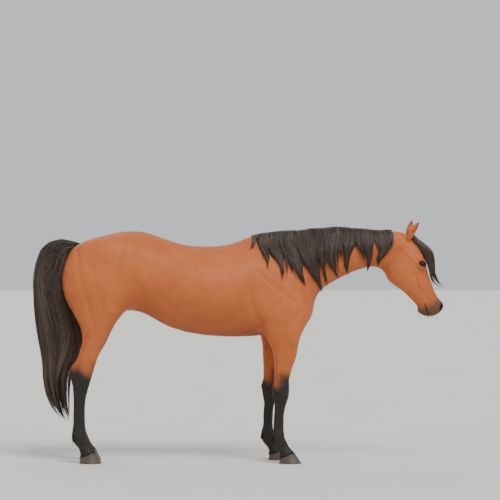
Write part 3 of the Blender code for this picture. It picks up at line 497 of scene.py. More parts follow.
def above_coronet(points):
    """Height of each place on the feet above the plane where the skin meets the horn."""
    x = points[:, 0] - FRAME_SHIFT
    heights = [back_z + slope * (x + np.where(points[:, 1] > 0, set_back, 0) - back_x)
               for (back_x, back_z, slope), set_back in
               ((FORE_CORONET, FORE_SET_BACK), (HIND_CORONET, HIND_SET_BACK))]
    return points[:, 2] - np.where(x > 0, *heights)


points, normals = points_of(skin.data), normals_of(skin.data)
x, y, z = points.T
sideways = ramp(np.abs(normals[:, 1]), 0.12, 0.50)
left = y > 0
own_x = x - FRAME_SHIFT
on_fore = own_x + np.where(left, FORE_SET_BACK * np.clip((0.96 - z) / 0.24, 0, 1), 0)
on_hind = own_x + np.where(left, HIND_SET_BACK * np.clip((1.00 - z) / 0.50, 0, 1), 0)
along, out = head_places(points)
on_head = ramp(along - 0.30 * (out + 0.12), 0.02, 0.06) * (x > 0.9)
height = relief(own_x, z, TRUNK_MARKS) * (1 - on_head)
for k in range(8):
    rib = ((-0.02 - 0.062 * k, 1.30), (-0.06 - 0.064 * k, 1.12), (-0.07 - 0.060 * k, 0.98))
    height += relief(own_x, z, ((1.5, 10, *rib),))
height += np.where(own_x > 0, relief(on_fore, z, FORE_LEG_MARKS), relief(on_hind, z, HIND_LEG_MARKS))
height *= sideways
height += relief(along, out, HEAD_MARKS) * on_head * sideways
# The full round of the breast.
breast = 0.015 * ramp(normals[:, 0], 0.15, 0.70) * bell(z, 0.075, 1.000)
height += breast * (np.abs(x - 0.5) < 0.14)
# The furrow of the breast, the dip along the croup and the groove under the nose.
height -= 0.009 * bell(y, 0.016) * ramp(x, 0.38, 0.44) * ramp(z, 0.90, 0.96) * ramp(z, 1.24, 1.14)
height -= 0.005 * bell(y, 0.020) * ramp(x, -0.66, -0.74) * ramp(x, -1.10, -1.02) * (z > 1.3)
height -= 0.0015 * bell(y, 0.004) * ramp(along, 0.555, 0.57) * (out > -0.08)
for rise, at_along, at_out, wide, deep in HEAD_SWELLS:
    height += rise * np.exp(-((along - at_along) / wide) ** 2 - ((out - at_out) / deep) ** 2) * on_head
mouth = from_line(along, out, MOUTH_LINE)
height -= (0.002 + 0.0055 * ramp(along, 0.482, 0.512)) * bell(mouth, 0.0034) * (x > 1.1)
# The coronary band: the skin swells out over the top of each hoof.
height += 0.0048 * ramp(above_coronet(points), 0.026, 0.006) * (z < 0.2)
points += normals * height[:, None]
move_points(skin.data, points)

# Nostrils: a comma-shaped opening with a raised rim, drawn in and up towards the nasal passage.
NOSTRIL = (0.542, 0.001)          # its middle, along and out
NOSTRIL_RIM = 0.0028
NOSTRIL_LENGTH, NOSTRIL_WIDTH, NOSTRIL_DEPTH = 0.027, 0.0115, 0.020
normals = normals_of(skin.data)
along, out = head_places(points)
a = (along - NOSTRIL[0]) * 0.80 - (out - NOSTRIL[1]) * 0.60
b = (along - NOSTRIL[0]) * 0.60 + (out - NOSTRIL[1]) * 0.80
b -= 0.005 * (1 - (a / NOSTRIL_LENGTH) ** 2)
ring = np.hypot(a / NOSTRIL_LENGTH, b / NOSTRIL_WIDTH)
on_muzzle = (x > 1.2) * ramp(np.abs(y), 0.010, 0.026) * ramp(np.abs(normals[:, 1]), 0.05, 0.35)
rim = NOSTRIL_RIM * bell(ring, 0.22, 1.22) * on_muzzle
points += normals * rim[:, None]
side = np.sign(y)[:, None]
inwards = -side * np.array((0, 0.78, 0)) - HEAD_DOWN * 0.52 - HEAD_FRONT * 0.12
sink = NOSTRIL_DEPTH * np.clip(1 - ring ** 2, 0, 1) ** 0.75 * on_muzzle
points += inwards * sink[:, None]
in_nostril = np.clip(sink / 0.006, 0, 1)
move_points(skin.data, points)

# Lids: two folds of skin over the ball, open in an almond whose front corner is drawn out.
EYE_RADIUS = 0.0255
LID_THICKNESS = 0.0024
LID_FRONT, LID_BACK, LID_UP, LID_DOWN = 0.0300, 0.0262, 0.0200, 0.0160      # reach of the almond
BOW_FRONT, BOW_BACK = 1.55, 2.3   # how full the almond is: a drawn-out front corner and a round back one
# Folds round the lids: height, distance from the edge, half width, and where across the lids each starts
# and is full.
LID_FOLDS = (
    (-0.0022, 0.0085, 0.0016, 0.000, 0.008), (0.0014, 0.0125, 0.0030, 0.000, 0.008),
    (-0.0010, 0.0175, 0.0020, 0.004, 0.012), (-0.0010, 0.0070, 0.0015, 0.000, -0.006),
    (-0.0008, 0.0120, 0.0018, 0.000, -0.006))


def eye_axes(side):
    """Outwards, along the lids towards the front corner, and up across them."""
    outward = (Vector((0, side * 0.94, 0)) + Vector(HEAD_FRONT) * 0.32).normalized()
    front = Vector((0.90, 0.0, -0.44))
    front = (front - outward * front.dot(outward)).normalized()
    up = outward.cross(front) * -side
    if up.z < 0:
        up = -up
    return np.array(outward), np.array(front), np.array(up)


def lid_edge(a, b):
    """Distance in metres outside the almond of the lids (below 0 inside)."""
    share = np.where(a > 0, a / LID_FRONT, -a / LID_BACK)
    arch = np.where(b > 0, LID_UP, LID_DOWN)
    bow = np.where(a > 0, BOW_FRONT, BOW_BACK)
    edge = arch * (1 - np.minimum(share, 1.6) ** bow)
    slope = arch * bow * np.minimum(share, 1.2) ** (bow - 1) / np.where(a > 0, LID_FRONT, LID_BACK)
    return (np.abs(b) - edge) / np.sqrt(1 + slope ** 2)


lid_rim = np.zeros(len(points))
in_lids = np.zeros(len(points))
for side, centre in EYES.items():
    outward, front, up = eye_axes(side)
    rel = points - np.array(centre)
    near = (np.linalg.norm(rel, axis=1) < 0.055) & (rel @ outward > -0.012)
    a, b, height = rel[near] @ front, rel[near] @ up, rel[near] @ outward
    away = np.hypot(a, b)
    ball = EYE_RADIUS - 0.0015 + LID_THICKNESS - away ** 2 / (2 * EYE_RADIUS) * 1.10
    soft = 0.0022
    over = soft * np.logaddexp(height / soft, ball / soft)
    blend = ramp(away, 0.021, 0.032)
    wanted = ball * (1 - blend) + over * blend
    edge = lid_edge(a, b)
    outside = np.maximum(edge, 0)
    folds = 0.0007 * bell(outside, 0.0013, 0.0015)
    for rise, far, half_width, start, full in LID_FOLDS:
        folds += rise * bell(outside, half_width, far) * ramp(b, start, full)
    wanted += folds
    opened = ramp(edge, 0.0004, -0.0010)
    wanted -= opened * (LID_THICKNESS + 0.0090)
    points[near] += (wanted - height)[:, None] * outward
    lid_rim[near] = np.maximum(lid_rim[near], bell(outside, 0.0035))
    in_lids[near] = np.maximum(in_lids[near], opened)
move_points(skin.data, points)


def markings(points):
    """How far each place is black (points of a bay), mealy dark (muzzle) and darkened by painted shade
    (under the belly and on the inner sides of the legs), from 0 to 1. The fourth value is always 1. Skin and
    hair both take their colours from it."""
    x, y, z = points.T
    along, out = head_places(points)
    ragged = 0.018 * np.sin(23 * x + 40 * z) + 0.012 * np.sin(61 * x - 37 * y + 11 * z)
    own_x = x + np.where(y > 0, FORE_SET_BACK * (x > 0), 0)
    forward = ramp(own_x, 0.25, 0.33) * (x > 0)
    fore = ramp(z + ragged - 0.05 * forward, 0.625, 0.480)
    hind = ramp(z + ragged - 0.03 * ramp(x, -1.02, -1.10), 0.715, 0.545)
    black = np.where(x > 0, fore, hind)
    slant = np.where(out > -0.05, 0.35, -0.15) * (out + 0.05)
    muzzle = ramp(along + slant + 0.10 * ragged, 0.455, 0.530) * (x > 1.1)
    rims = ramp(z, 1.575, 1.612) * (x > 1.05)
    dark = np.maximum(black, 0.55 * rims)
    # Painted shade: darker under the belly and on the inner sides of the legs, where shade falls.
    under = ramp(z, 1.02, 0.86) * (np.abs(y) < 0.30) * ramp(z, 0.70, 0.85) * (x < 0.12) * (x > -0.75)
    inner = ramp(np.abs(y), 0.150, 0.095) * ramp(z, 1.00, 0.88) * (z > 0.45)
    return np.stack([dark, muzzle, under * 0.30 + inner * 0.25, np.ones(len(points))], 1)


def paint(mesh, name, values, kind="FLOAT"):
    """Stores values at a mesh's vertices under a name that materials read."""
    layer = mesh.attributes.new(name, kind, "POINT")
    key = {"FLOAT": "value", "FLOAT_COLOR": "color", "FLOAT_VECTOR": "vector"}[kind]
    layer.data.foreach_set(key, np.asarray(values, np.float32).ravel())


# The last bay colour is painted shade, used under the belly and on the inner sides of the legs.
BAY_DEEP, BAY_BRIGHT, BAY_GOLD, BAY_PAINTED_SHADE = "#b0582a", "#c56836", "#cf7a47", "#8e4a26"
BLACK_DEEP, BLACK_BRIGHT, MUZZLE_BROWN, BARE_SKIN = "#201c1a", "#383230", "#6d4b38", "#2c2321"


def coat_material(name, with_bump):
    """The bay's short summer coat: red-brown, black below the knees and hocks, and mealy grey-brown at the
    muzzle, with painted shade darkening it under the belly and on the inner sides of the legs. Each hair is a
    clear keratin tube, so the coat has a soft sheen."""
    coat = Surface(name)
    place = coat.place()
    marks = coat.stored("markings", "Color")
    black, mealy, painted_shade = coat.node("ShaderNodeSeparateColor", {"Color": marks}).outputs
    bare, tone = coat.stored("bare"), coat.stored("tone")

    def streaks(turn, stretch, scale):
        """Noise drawn out along the lie of the hair."""
        return coat.noise(coat.stretched(place, stretch, turn), scale, 3.0, Roughness=0.6)

    # Patches a hand wide, where the coat turns a shade lighter or darker.
    patches = coat.noise(place, 5.0, 3.0)
    # Streaks of hair 3 mm wide, drawn coarser than the real 0.1 mm hairs so that they show.
    body_hair = streaks((0, math.radians(-18), 0), (0.12, 1, 1), 300.0)
    leg_hair = streaks((0, 0, 0), (1, 1, 0.12), 300.0)
    face_hair = streaks((0, HEAD_PITCH, 0), (0.14, 1, 1), 420.0)
    parts = coat.node("ShaderNodeSeparateXYZ", {"Vector": place}).outputs
    hair = coat.blended(coat.spread(parts["Z"], 0.95, 0.80), body_hair, leg_hair)
    hair = coat.blended(coat.spread(parts["X"], 1.00, 1.10), hair, face_hair)
    bay = coat.mixed(coat.spread(patches, low=-0.6, high=1.6), BAY_DEEP, BAY_BRIGHT)
    bay = coat.mixed(coat.spread(hair, low=-0.30, high=0.75), bay, BAY_GOLD)
    # Painted shade under the belly and on the inner sides of the legs.
    bay = coat.mixed(painted_shade, bay, BAY_PAINTED_SHADE)
    bay = coat.mixed(mealy, bay, MUZZLE_BROWN)
    inky = coat.mixed(coat.spread(hair, low=-0.2, high=1.2), BLACK_DEEP, BLACK_BRIGHT)
    bay = coat.mixed(black, bay, inky)
    # Tufts differ a little in tone; the skin has the middle tone.
    brightness = coat.spread(tone, low=0.80, high=1.20)
    toned = coat.node("ShaderNodeHueSaturation", {"Color": bay, "Value": brightness})
    coat.fill(coat.shader, {
        "Base Color": coat.mixed(bare, toned.outputs["Color"], BARE_SKIN),
        "Roughness": coat.spread(hair, low=0.40, high=0.58),
        "Specular IOR Level": 0.20, "Sheen Weight": 0.02, "Sheen Roughness": 0.4})
    if with_bump:
        pores = coat.noise(place, 900.0, 2.0)
        grain = coat.blended(bare, hair, pores)
        bump = coat.node("ShaderNodeBump", {"Height": grain, "Strength": 0.35, "Distance": 0.0012})
        coat.fill(coat.shader, {"Normal": bump.outputs["Normal"]})
    return coat.material


skin.data.materials.append(coat_material("bay_summer_coat", True))
skin.data.shade_smooth()
paint(skin.data, "markings", markings(points), "FLOAT_COLOR")
by_mouth = bell(mouth, 0.005) * (x > 1.1)
bare = np.maximum.reduce([0.95 * lid_rim, in_lids, in_nostril, 0.8 * by_mouth, 0.45 * rim / NOSTRIL_RIM])
paint(skin.data, "bare", np.clip(bare, 0, 1))
paint(skin.data, "tone", np.full(len(points), 0.5))
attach(skin, "root")
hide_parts(*[name for name in FLESH if not name.startswith("eye")])

# ------------------------------------------------------------------ eyes
# Large dark brown eyes set at the sides of the head: a wet ball under a clear cornea, a brown iris with
# fine spokes, and a wide level pupil. Each sits in its socket behind the lids.

CORNEA_RISE = 0.0011
CORNEA_FROM, CORNEA_FULL = 0.70, 0.86     # where it starts to rise and is full, in radii along the gaze
# Seen from the front, in radii of the ball: the iris's edge, where it is all white, and half the pupil.
IRIS_EDGE, WHITE_FROM = 0.64, 0.86
PUPIL_WIDTH, PUPIL_HEIGHT = 0.36, 0.20

wet_eye = Surface("wet_eyeball_under_cornea")
parts = wet_eye.node("ShaderNodeSeparateXYZ", {"Vector": wet_eye.stored("gaze", "Vector")}).outputs
flat_gaze = wet_eye.node("ShaderNodeCombineXYZ", {"X": parts["X"], "Y": parts["Y"]}).outputs["Vector"]
away = wet_eye.node("ShaderNodeVectorMath", {0: flat_gaze}, operation="LENGTH").outputs["Value"]
turn = wet_eye.sums("ARCTAN2", parts["Y"], parts["X"])
spoke_place = wet_eye.node("ShaderNodeCombineXYZ", {"X": turn, "Y": away}).outputs["Vector"]
spokes = wet_eye.noise(wet_eye.stretched(spoke_place, (9.0, 1.2, 1.0)), 2.5, 3.0)
iris = wet_eye.mixed(spokes, "#140803", "#35180a")
iris = wet_eye.mixed(wet_eye.spread(away, 0.50, IRIS_EDGE), iris, "#0c0604")
ball_colour = wet_eye.mixed(wet_eye.spread(away, IRIS_EDGE, WHITE_FROM), iris, "#3a2820")
pupil_place = wet_eye.node("ShaderNodeVectorMath", {0: flat_gaze, 1: (1 / PUPIL_WIDTH, 1 / PUPIL_HEIGHT, 0)},
                           operation="MULTIPLY").outputs["Vector"]
pupil_far = wet_eye.node("ShaderNodeVectorMath", {0: pupil_place}, operation="LENGTH").outputs["Value"]
pupil = wet_eye.spread(pupil_far, 1.06, 0.94)
wet_eye.fill(wet_eye.shader, {
    "Base Color": wet_eye.mixed(pupil, ball_colour, "#050304"), "Roughness": 0.12, "IOR": 1.376,
    "Specular IOR Level": 0.10, "Coat Weight": 0.75, "Coat IOR": 1.33, "Coat Roughness": 0.02})

for side, ending in SIDES:
    outward = Vector(eye_axes(side)[0])
    centre = EYES[side] - outward * 0.0006
    # The pupil stays level with the ground however the head is carried.
    level = (Vector((1, 0, 0)) - outward * outward.x).normalized()
    turned = Matrix((level, outward.cross(level), outward)).transposed().to_4x4()
    bm = bmesh.new()
    bmesh.ops.create_uvsphere(bm, u_segments=48, v_segments=32, radius=EYE_RADIUS)
    gazes = []
    for vertex in bm.verts:
        look = vertex.co / EYE_RADIUS
        gazes.append(tuple(look))
        vertex.co *= 1 + CORNEA_RISE / EYE_RADIUS * float(ramp(look.z, CORNEA_FROM, CORNEA_FULL))
    bmesh.ops.transform(bm, matrix=Matrix.Translation(centre) @ turned, verts=bm.verts)
    bmesh.ops.recalc_face_normals(bm, faces=bm.faces)
    eye = make_object("eyeball" + ending, bm, wet_eye.material)
    paint(eye.data, "gaze", gazes, "FLOAT_VECTOR")
    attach(eye, "root")
    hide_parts("eye" + ending)

# ------------------------------------------------------------------ hooves
# A hard horn box round each toe, grown down from the coronet in rings about 8 mm apart, with a band of
# softer horn at the top, two rounded heels behind and a hollow sole inside a flat bearing rim.

HORN_RINGS = 9
RING_RISE = 0.0002
HOOF_AROUND = 56
BAND_RISE = 0.0012                # of the softer horn at the top, and of the round along the bearing rim
RIM_HEIGHT = 0.001
# The sole from its hollow middle outwards: how far in from toe and heel, half its width, and its height.
SOLE = ((0.046, 0.052, 0.026, 0.012), (0.030, 0.034, 0.040, 0.009), (0.013, 0.013, 0.053, 0.0))
# Each pair of feet: length on the ground, how far the coronet lies behind the toe and before the heel, and
# the height of its back.
HOOVES = (("fore_hoof", 0.158, 0.049, 0.014, 0.036), ("hind_hoof", 0.154, 0.039, 0.014, 0.040))

horn = Surface("hoof_horn")
place, grown = horn.place(), horn.stored("grown")
fine = horn.noise(horn.stretched(place, (1, 1, 0.08), (0, math.radians(-38), 0)), 300.0, 2.0)
cloud = horn.noise(place, 38.0, 3.0)
bands = horn.sums("SINE", horn.sums("MULTIPLY", grown, 2 * math.pi * HORN_RINGS))
wall = horn.mixed(cloud, "#3f342b", "#5a4c3e")
wall = horn.mixed(horn.spread(bands, -1.0, high=0.13), wall, "#3c3029")
wall = horn.mixed(horn.spread(fine, 0.40, 0.85, high=0.32), wall, "#6f5f4b")
wall = horn.mixed(horn.spread(grown, 0.86, 0.97), wall, "#2f2824")
bump = horn.node("ShaderNodeBump", {"Height": fine, "Strength": 0.15, "Distance": 0.0006})
horn.fill(horn.shader, {"Base Color": wall, "Roughness": horn.spread(cloud, low=0.34, high=0.52),
                        "Normal": bump.outputs["Normal"]})


def hoof_ring(toe, heel, half, front_z, back_z, aside, side):
    """The corners of one level of the wall, pointed a little at the toe, with a cleft between the heels."""
    corners = []
    for k in range(HOOF_AROUND):
        angle = 2 * math.pi * k / HOOF_AROUND
        ahead = (1 + math.cos(angle)) / 2
        wide = abs(math.sin(angle)) ** 0.80 * math.copysign(1.0, math.sin(angle))
        narrower = 0.90 + 0.10 * min(1.0, ahead * 1.6)
        cleft = 0.020 * math.exp(-((angle - math.pi) / 0.26) ** 2)
        corners.append(Vector((heel + (toe - heel) * ahead + cleft, aside + side * half * wide * narrower,
                               back_z + (front_z - back_z) * ahead)))
    return corners


for foot, depth, coronet_front, coronet_back, back_z in HOOVES:
    for side, ending in SIDES:
        low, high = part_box(foot + ending)
        toe, heel, aside = high.x, high.x - depth, (low.y + high.y) / 2
        half, top = (high.y - low.y) / 2 - 0.0005, high.z
        # Each level: its toe, its heel, half its width, its height in front and behind, and how far up it is.
        levels = [(toe - front, heel + back, wide, rise, rise, 0.0) for front, back, wide, rise in SOLE]
        levels.append((toe - 0.003, heel + 0.003, half - 0.002, 0.0, 0.0, 0.0))
        steps = HORN_RINGS * 4
        for step in range(steps + 1):
            grown = step / steps
            swell = RING_RISE * math.sin(2 * math.pi * HORN_RINGS * grown) * (0.2 + 0.8 * grown)
            band, rim = math.exp(-((grown - 0.92) / 0.06) ** 2), math.exp(-(grown / 0.03) ** 2)
            swell += BAND_RISE * band - BAND_RISE * rim
            toe_here = toe - coronet_front * grown + swell
            heel_here = heel + coronet_back * grown - swell - 0.003 * math.sin(math.pi * grown)
            half_here = half - 0.0150 * grown ** 0.9 + swell
            levels.append((toe_here, heel_here, half_here, RIM_HEIGHT + (top - RIM_HEIGHT) * grown,
                           RIM_HEIGHT + (back_z - RIM_HEIGHT) * grown, grown))
        levels.append((toe - coronet_front - 0.010, heel + coronet_back + 0.010, half - 0.023,
                       top - 0.002, back_z - 0.002, 1.0))
        bm = bmesh.new()
        bmesh.ops.create_circle(bm, cap_ends=True, segments=HOOF_AROUND, radius=1.0)
        ring, edges = list(bm.verts), list(bm.edges)
        heights = {}
        for number, level in enumerate(levels):
            if number:
                spun = bmesh.ops.extrude_edge_only(bm, edges=edges)["geom"]
                edges = [item for item in spun if isinstance(item, bmesh.types.BMEdge)]
                added = {corner for edge in edges for corner in edge.verts}
                ring = [next(edge.other_vert(old) for edge in old.link_edges if edge.other_vert(old) in added)
                        for old in ring]
            for vertex, corner in zip(ring, hoof_ring(*level[:5], aside, side)):
                vertex.co = corner
                heights[vertex] = level[5]
        bmesh.ops.contextual_create(bm, geom=edges)
        bmesh.ops.recalc_face_normals(bm, faces=bm.faces)
        bm.verts.ensure_lookup_table()
        grown_values = [heights[vertex] for vertex in bm.verts]
        hoof = make_object("horn_" + foot + ending, bm, horn.material)
        paint(hoof.data, "grown", grown_values)
        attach(hoof, "root")
        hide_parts(foot + ending)

# ------------------------------------------------------------------ mane
# Long coarse near-black hair that roots along the crest of the neck, rises a little, and falls over the
# right side in wavy pointed locks. Each hair bundle is a closed three-sided strand that tapers to a tip.

HAIR_SEED = 11
STRAND_STEPS = np.linspace(0, 1, 13) ** 1.5   # closer together near the root, where hairs bend most
PATCH = 0.003                     # the size of a strand's patch on the bake map
rng = np.random.default_rng(HAIR_SEED)
surface = bmesh.new()
surface.from_mesh(skin.data)
skin_tree = BVHTree.FromBMesh(surface)
surface.free()

horsehair = Surface("black_horsehair")
run, tone = horsehair.stored("run"), horsehair.stored("tone")
fine = horsehair.noise(horsehair.place(), 60.0, 3.0)
# A strand's tone is partly its own and partly painted light and shade, set where mane, forelock and tail are
# built.
hair_colour = horsehair.mixed(tone, "#1c1613", "#5c4d43")
hair_colour = horsehair.mixed(horsehair.sums("MULTIPLY", run, 0.40), hair_colour, "#6b5647")
hair_colour = horsehair.mixed(horsehair.spread(fine, 0.45, 0.8, high=0.30), hair_colour, "#5c4b3e")
horsehair.fill(horsehair.shader, {
    "Base Color": hair_colour, "Roughness": horsehair.spread(fine, low=0.36, high=0.52),
    "Specular IOR Level": 0.42, "IOR": 1.55})
long_hair = horsehair.material


def smooth_through(rows, wanted):
    """Rows of numbers read at the wanted shares (0 to 1) of the way along a smooth curve through them."""
    rows = np.asarray(rows, float)
    places = np.concatenate([[0], np.cumsum(np.linalg.norm(np.diff(rows[:, :2], axis=0), axis=1))])
    places /= places[-1]
    slopes = np.gradient(rows, places, axis=0)
    left = np.clip(np.searchsorted(places, wanted, side="right") - 1, 0, len(places) - 2)
    span = (places[left + 1] - places[left])[:, None]
    t = (np.asarray(wanted)[:, None] - places[left][:, None]) / span
    return (rows[left] * (1 + 2 * t) * (1 - t) ** 2 + rows[left + 1] * t * t * (3 - 2 * t)
            + slopes[left] * span * t * (1 - t) ** 2 - slopes[left + 1] * span * t * t * (1 - t))


def unit(vectors):
    """Vectors drawn to length 1."""
    return vectors / np.maximum(np.linalg.norm(vectors, axis=-1, keepdims=True), 1e-9)


def strands(name, paths, outwards, widths, spots, material, thick=0.45, smooth=True, **values):
    """Closed strands along paths (strands, points, 3) that lie flat on the side they face outwards.
    Each comes to a tip, has a square patch of the bake map at its spot, and carries the named values."""
    count, rings = paths.shape[0], paths.shape[1] - 1
    ways = unit(np.gradient(paths, axis=1))
    across = unit(np.cross(ways, outwards))
    lift = np.cross(across, ways)
    share = np.linspace(0, 1, rings + 1)[:-1]
    profile = np.minimum(0.55 + 3.0 * share, 1.0) * (1 - share ** 2.2 * 0.75)
    wide = (widths[:, None] * profile)[..., None]
    middle, across, lift = paths[:, :-1], across[:, :-1], lift[:, :-1]
    corners = np.stack([middle + across * wide / 2 - lift * wide * thick * 0.33,
                        middle - across * wide / 2 - lift * wide * thick * 0.33,
                        middle + lift * wide * thick * 0.67], 2)
    own = rings * 3 + 1
    verts = np.concatenate([corners.reshape(count, -1, 3), paths[:, -1:]], 1).reshape(-1, 3)
    quads = np.array([(j * 3 + k, j * 3 + (k + 1) % 3, j * 3 + 3 + (k + 1) % 3, j * 3 + 3 + k)
                      for j in range(rings - 1) for k in range(3)], int).reshape(-1, 4)
    last = (rings - 1) * 3
    tris = np.array([(last, last + 1, own - 1), (last + 1, last + 2, own - 1), (last + 2, last, own - 1),
                     (0, 2, 1)])
    loops_of_one = np.concatenate([quads.ravel(), tris.ravel()])
    starts_of_one = np.concatenate([np.arange(len(quads)) * 4, len(quads) * 4 + np.arange(4) * 3])
    loops = (np.arange(count)[:, None] * own + loops_of_one).ravel()
    starts = (np.arange(count)[:, None] * len(loops_of_one) + starts_of_one).ravel()
    mesh = bpy.data.meshes.new(name)
    mesh.vertices.add(len(verts))
    mesh.vertices.foreach_set("co", verts.astype(np.float32).ravel())
    mesh.loops.add(len(loops))
    mesh.loops.foreach_set("vertex_index", loops.astype(np.int32))
    mesh.polygons.add(len(starts))
    mesh.polygons.foreach_set("loop_start", starts.astype(np.int32))
    mesh.update(calc_edges=True)
    mesh.validate()
    if smooth:
        mesh.shade_smooth()
    else:
        mesh.shade_flat()
    along = np.append(np.repeat(np.arange(rings) / rings, 3), 1.0)
    around = np.append(np.tile([0.0, 1.0, 0.5], rings), 0.5)
    patch = np.stack([around, along], 1)[None] * PATCH + np.asarray(spots)[:, None]
    layer = mesh.uv_layers.new(name="OFBake")
    layer.data.foreach_set("uv", patch.reshape(-1, 2)[loops].astype(np.float32).ravel())
    paint(mesh, "run", np.tile(along, count))
    for key, value in values.items():
        value = np.asarray(value, float)
        paint(mesh, key, np.repeat(value, own, axis=0), "FLOAT_COLOR" if value.ndim == 2 else "FLOAT")
    mesh.materials.append(material)
    obj = bpy.data.objects.new(name, mesh)
    scene.collection.objects.link(obj)
    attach(obj, "root")
    return obj


def clear_of_skin(paths, least):
    """Lifts the points of hairs that lie nearer the skin than the least gap (one for each point)."""
    flat = paths.reshape(-1, 3)
    for k, wanted in enumerate(np.broadcast_to(least, paths.shape[:2]).ravel()):
        if wanted > 0:
            where, normal, _, _ = skin_tree.find_nearest(Vector(flat[k]), 0.05)
            if where is not None:
                short = wanted - (Vector(flat[k]) - where).dot(normal)
                if short > 0:
                    flat[k] += np.array(normal) * short
    return flat.reshape(paths.shape)


def side_of_skin(x, z, side):
    """How far the skin stands out to one side at a place in side view, or None beside the body."""
    hit = skin_tree.ray_cast(Vector((x, side * 2, z)), Vector((0, -side, 0)))[0]
    return abs(hit.y) if hit and hit.y * side > 0 else None


CREST_PLACES = np.linspace(0.02, 1.12, 80)
CREST_HEIGHTS = np.array([skin_tree.ray_cast(Vector((x, 0.0, 3)), Vector((0, 0, -1)))[0].z
                          for x in CREST_PLACES])


def crest(x):
    """The height of the neck's crest."""
    return np.interp(x, CREST_PLACES, CREST_HEIGHTS)


# Each lock: where it roots on the crest, the width of its root, how high it lies over the others, how many
# strands it has, its middle line below the crest, and its width at even steps from root to tip.
MANE_LOCKS = (
    (0.128, 0.06, 0.4, 130, ((0.118, 1.505), (0.100, 1.460), (0.070, 1.430)),
     (0.06, 0.045, 0.028, 0.014, 0.003)),
    (0.170, 0.11, 0.3, 240, ((0.160, 1.470), (0.176, 1.400), (0.190, 1.350), (0.190, 1.288)),
     (0.11, 0.085, 0.050, 0.020, 0.003)),
    (0.235, 0.14, 0.6, 330, ((0.222, 1.480), (0.255, 1.410), (0.282, 1.340), (0.292, 1.210)),
     (0.14, 0.110, 0.070, 0.026, 0.003)),
    (0.300, 0.13, 0.2, 210, ((0.300, 1.470), (0.326, 1.400), (0.348, 1.330), (0.352, 1.262)),
     (0.13, 0.085, 0.045, 0.018, 0.003)),
    (0.335, 0.14, 0.8, 380, ((0.330, 1.490), (0.374, 1.390), (0.400, 1.290), (0.448, 1.170)),
     (0.14, 0.120, 0.085, 0.046, 0.004)),
    (0.440, 0.17, 0.5, 480, ((0.430, 1.490), (0.470, 1.370), (0.516, 1.260), (0.560, 1.120)),
     (0.17, 0.150, 0.110, 0.052, 0.004)),
    (0.535, 0.12, 0.9, 260, ((0.542, 1.480), (0.548, 1.350), (0.578, 1.250), (0.590, 1.158)),
     (0.12, 0.066, 0.036, 0.020, 0.003)),
    (0.625, 0.17, 0.5, 360, ((0.625, 1.500), (0.612, 1.390), (0.634, 1.290), (0.676, 1.218)),
     (0.16, 0.095, 0.058, 0.034, 0.004)),
    (0.735, 0.17, 0.7, 380, ((0.738, 1.500), (0.722, 1.400), (0.718, 1.310), (0.734, 1.240)),
     (0.17, 0.105, 0.058, 0.030, 0.004)),
    (0.845, 0.16, 0.5, 330, ((0.850, 1.490), (0.866, 1.400), (0.872, 1.330), (0.856, 1.268)),
     (0.16, 0.115, 0.062, 0.034, 0.004)),
    (0.945, 0.15, 0.8, 370, ((0.968, 1.470), (0.962, 1.410), (0.934, 1.360), (0.932, 1.302)),
     (0.15, 0.120, 0.080, 0.040, 0.004)),
)
STRAY_LOCKS, STRAY_HAIRS = 40, 34
STRAY_WIDTHS = (0.030, 0.026, 0.020, 0.012, 0.002)
CREST_LOCKS, CREST_HAIRS = 62, 20
CREST_WIDTHS = (0.080, 0.078, 0.070, 0.060, 0.050)
LOCK_ROWS, LOCK_COLUMNS = 60, 7   # of the grid on which the skin under a lock is felt out


def hair_patch(share, level):
    """Spots on the bake map for strands that root along one line: the line is unrolled over the whole map."""
    return np.stack([0.01 + 0.975 * share, 0.01 + 0.975 * level], 1)


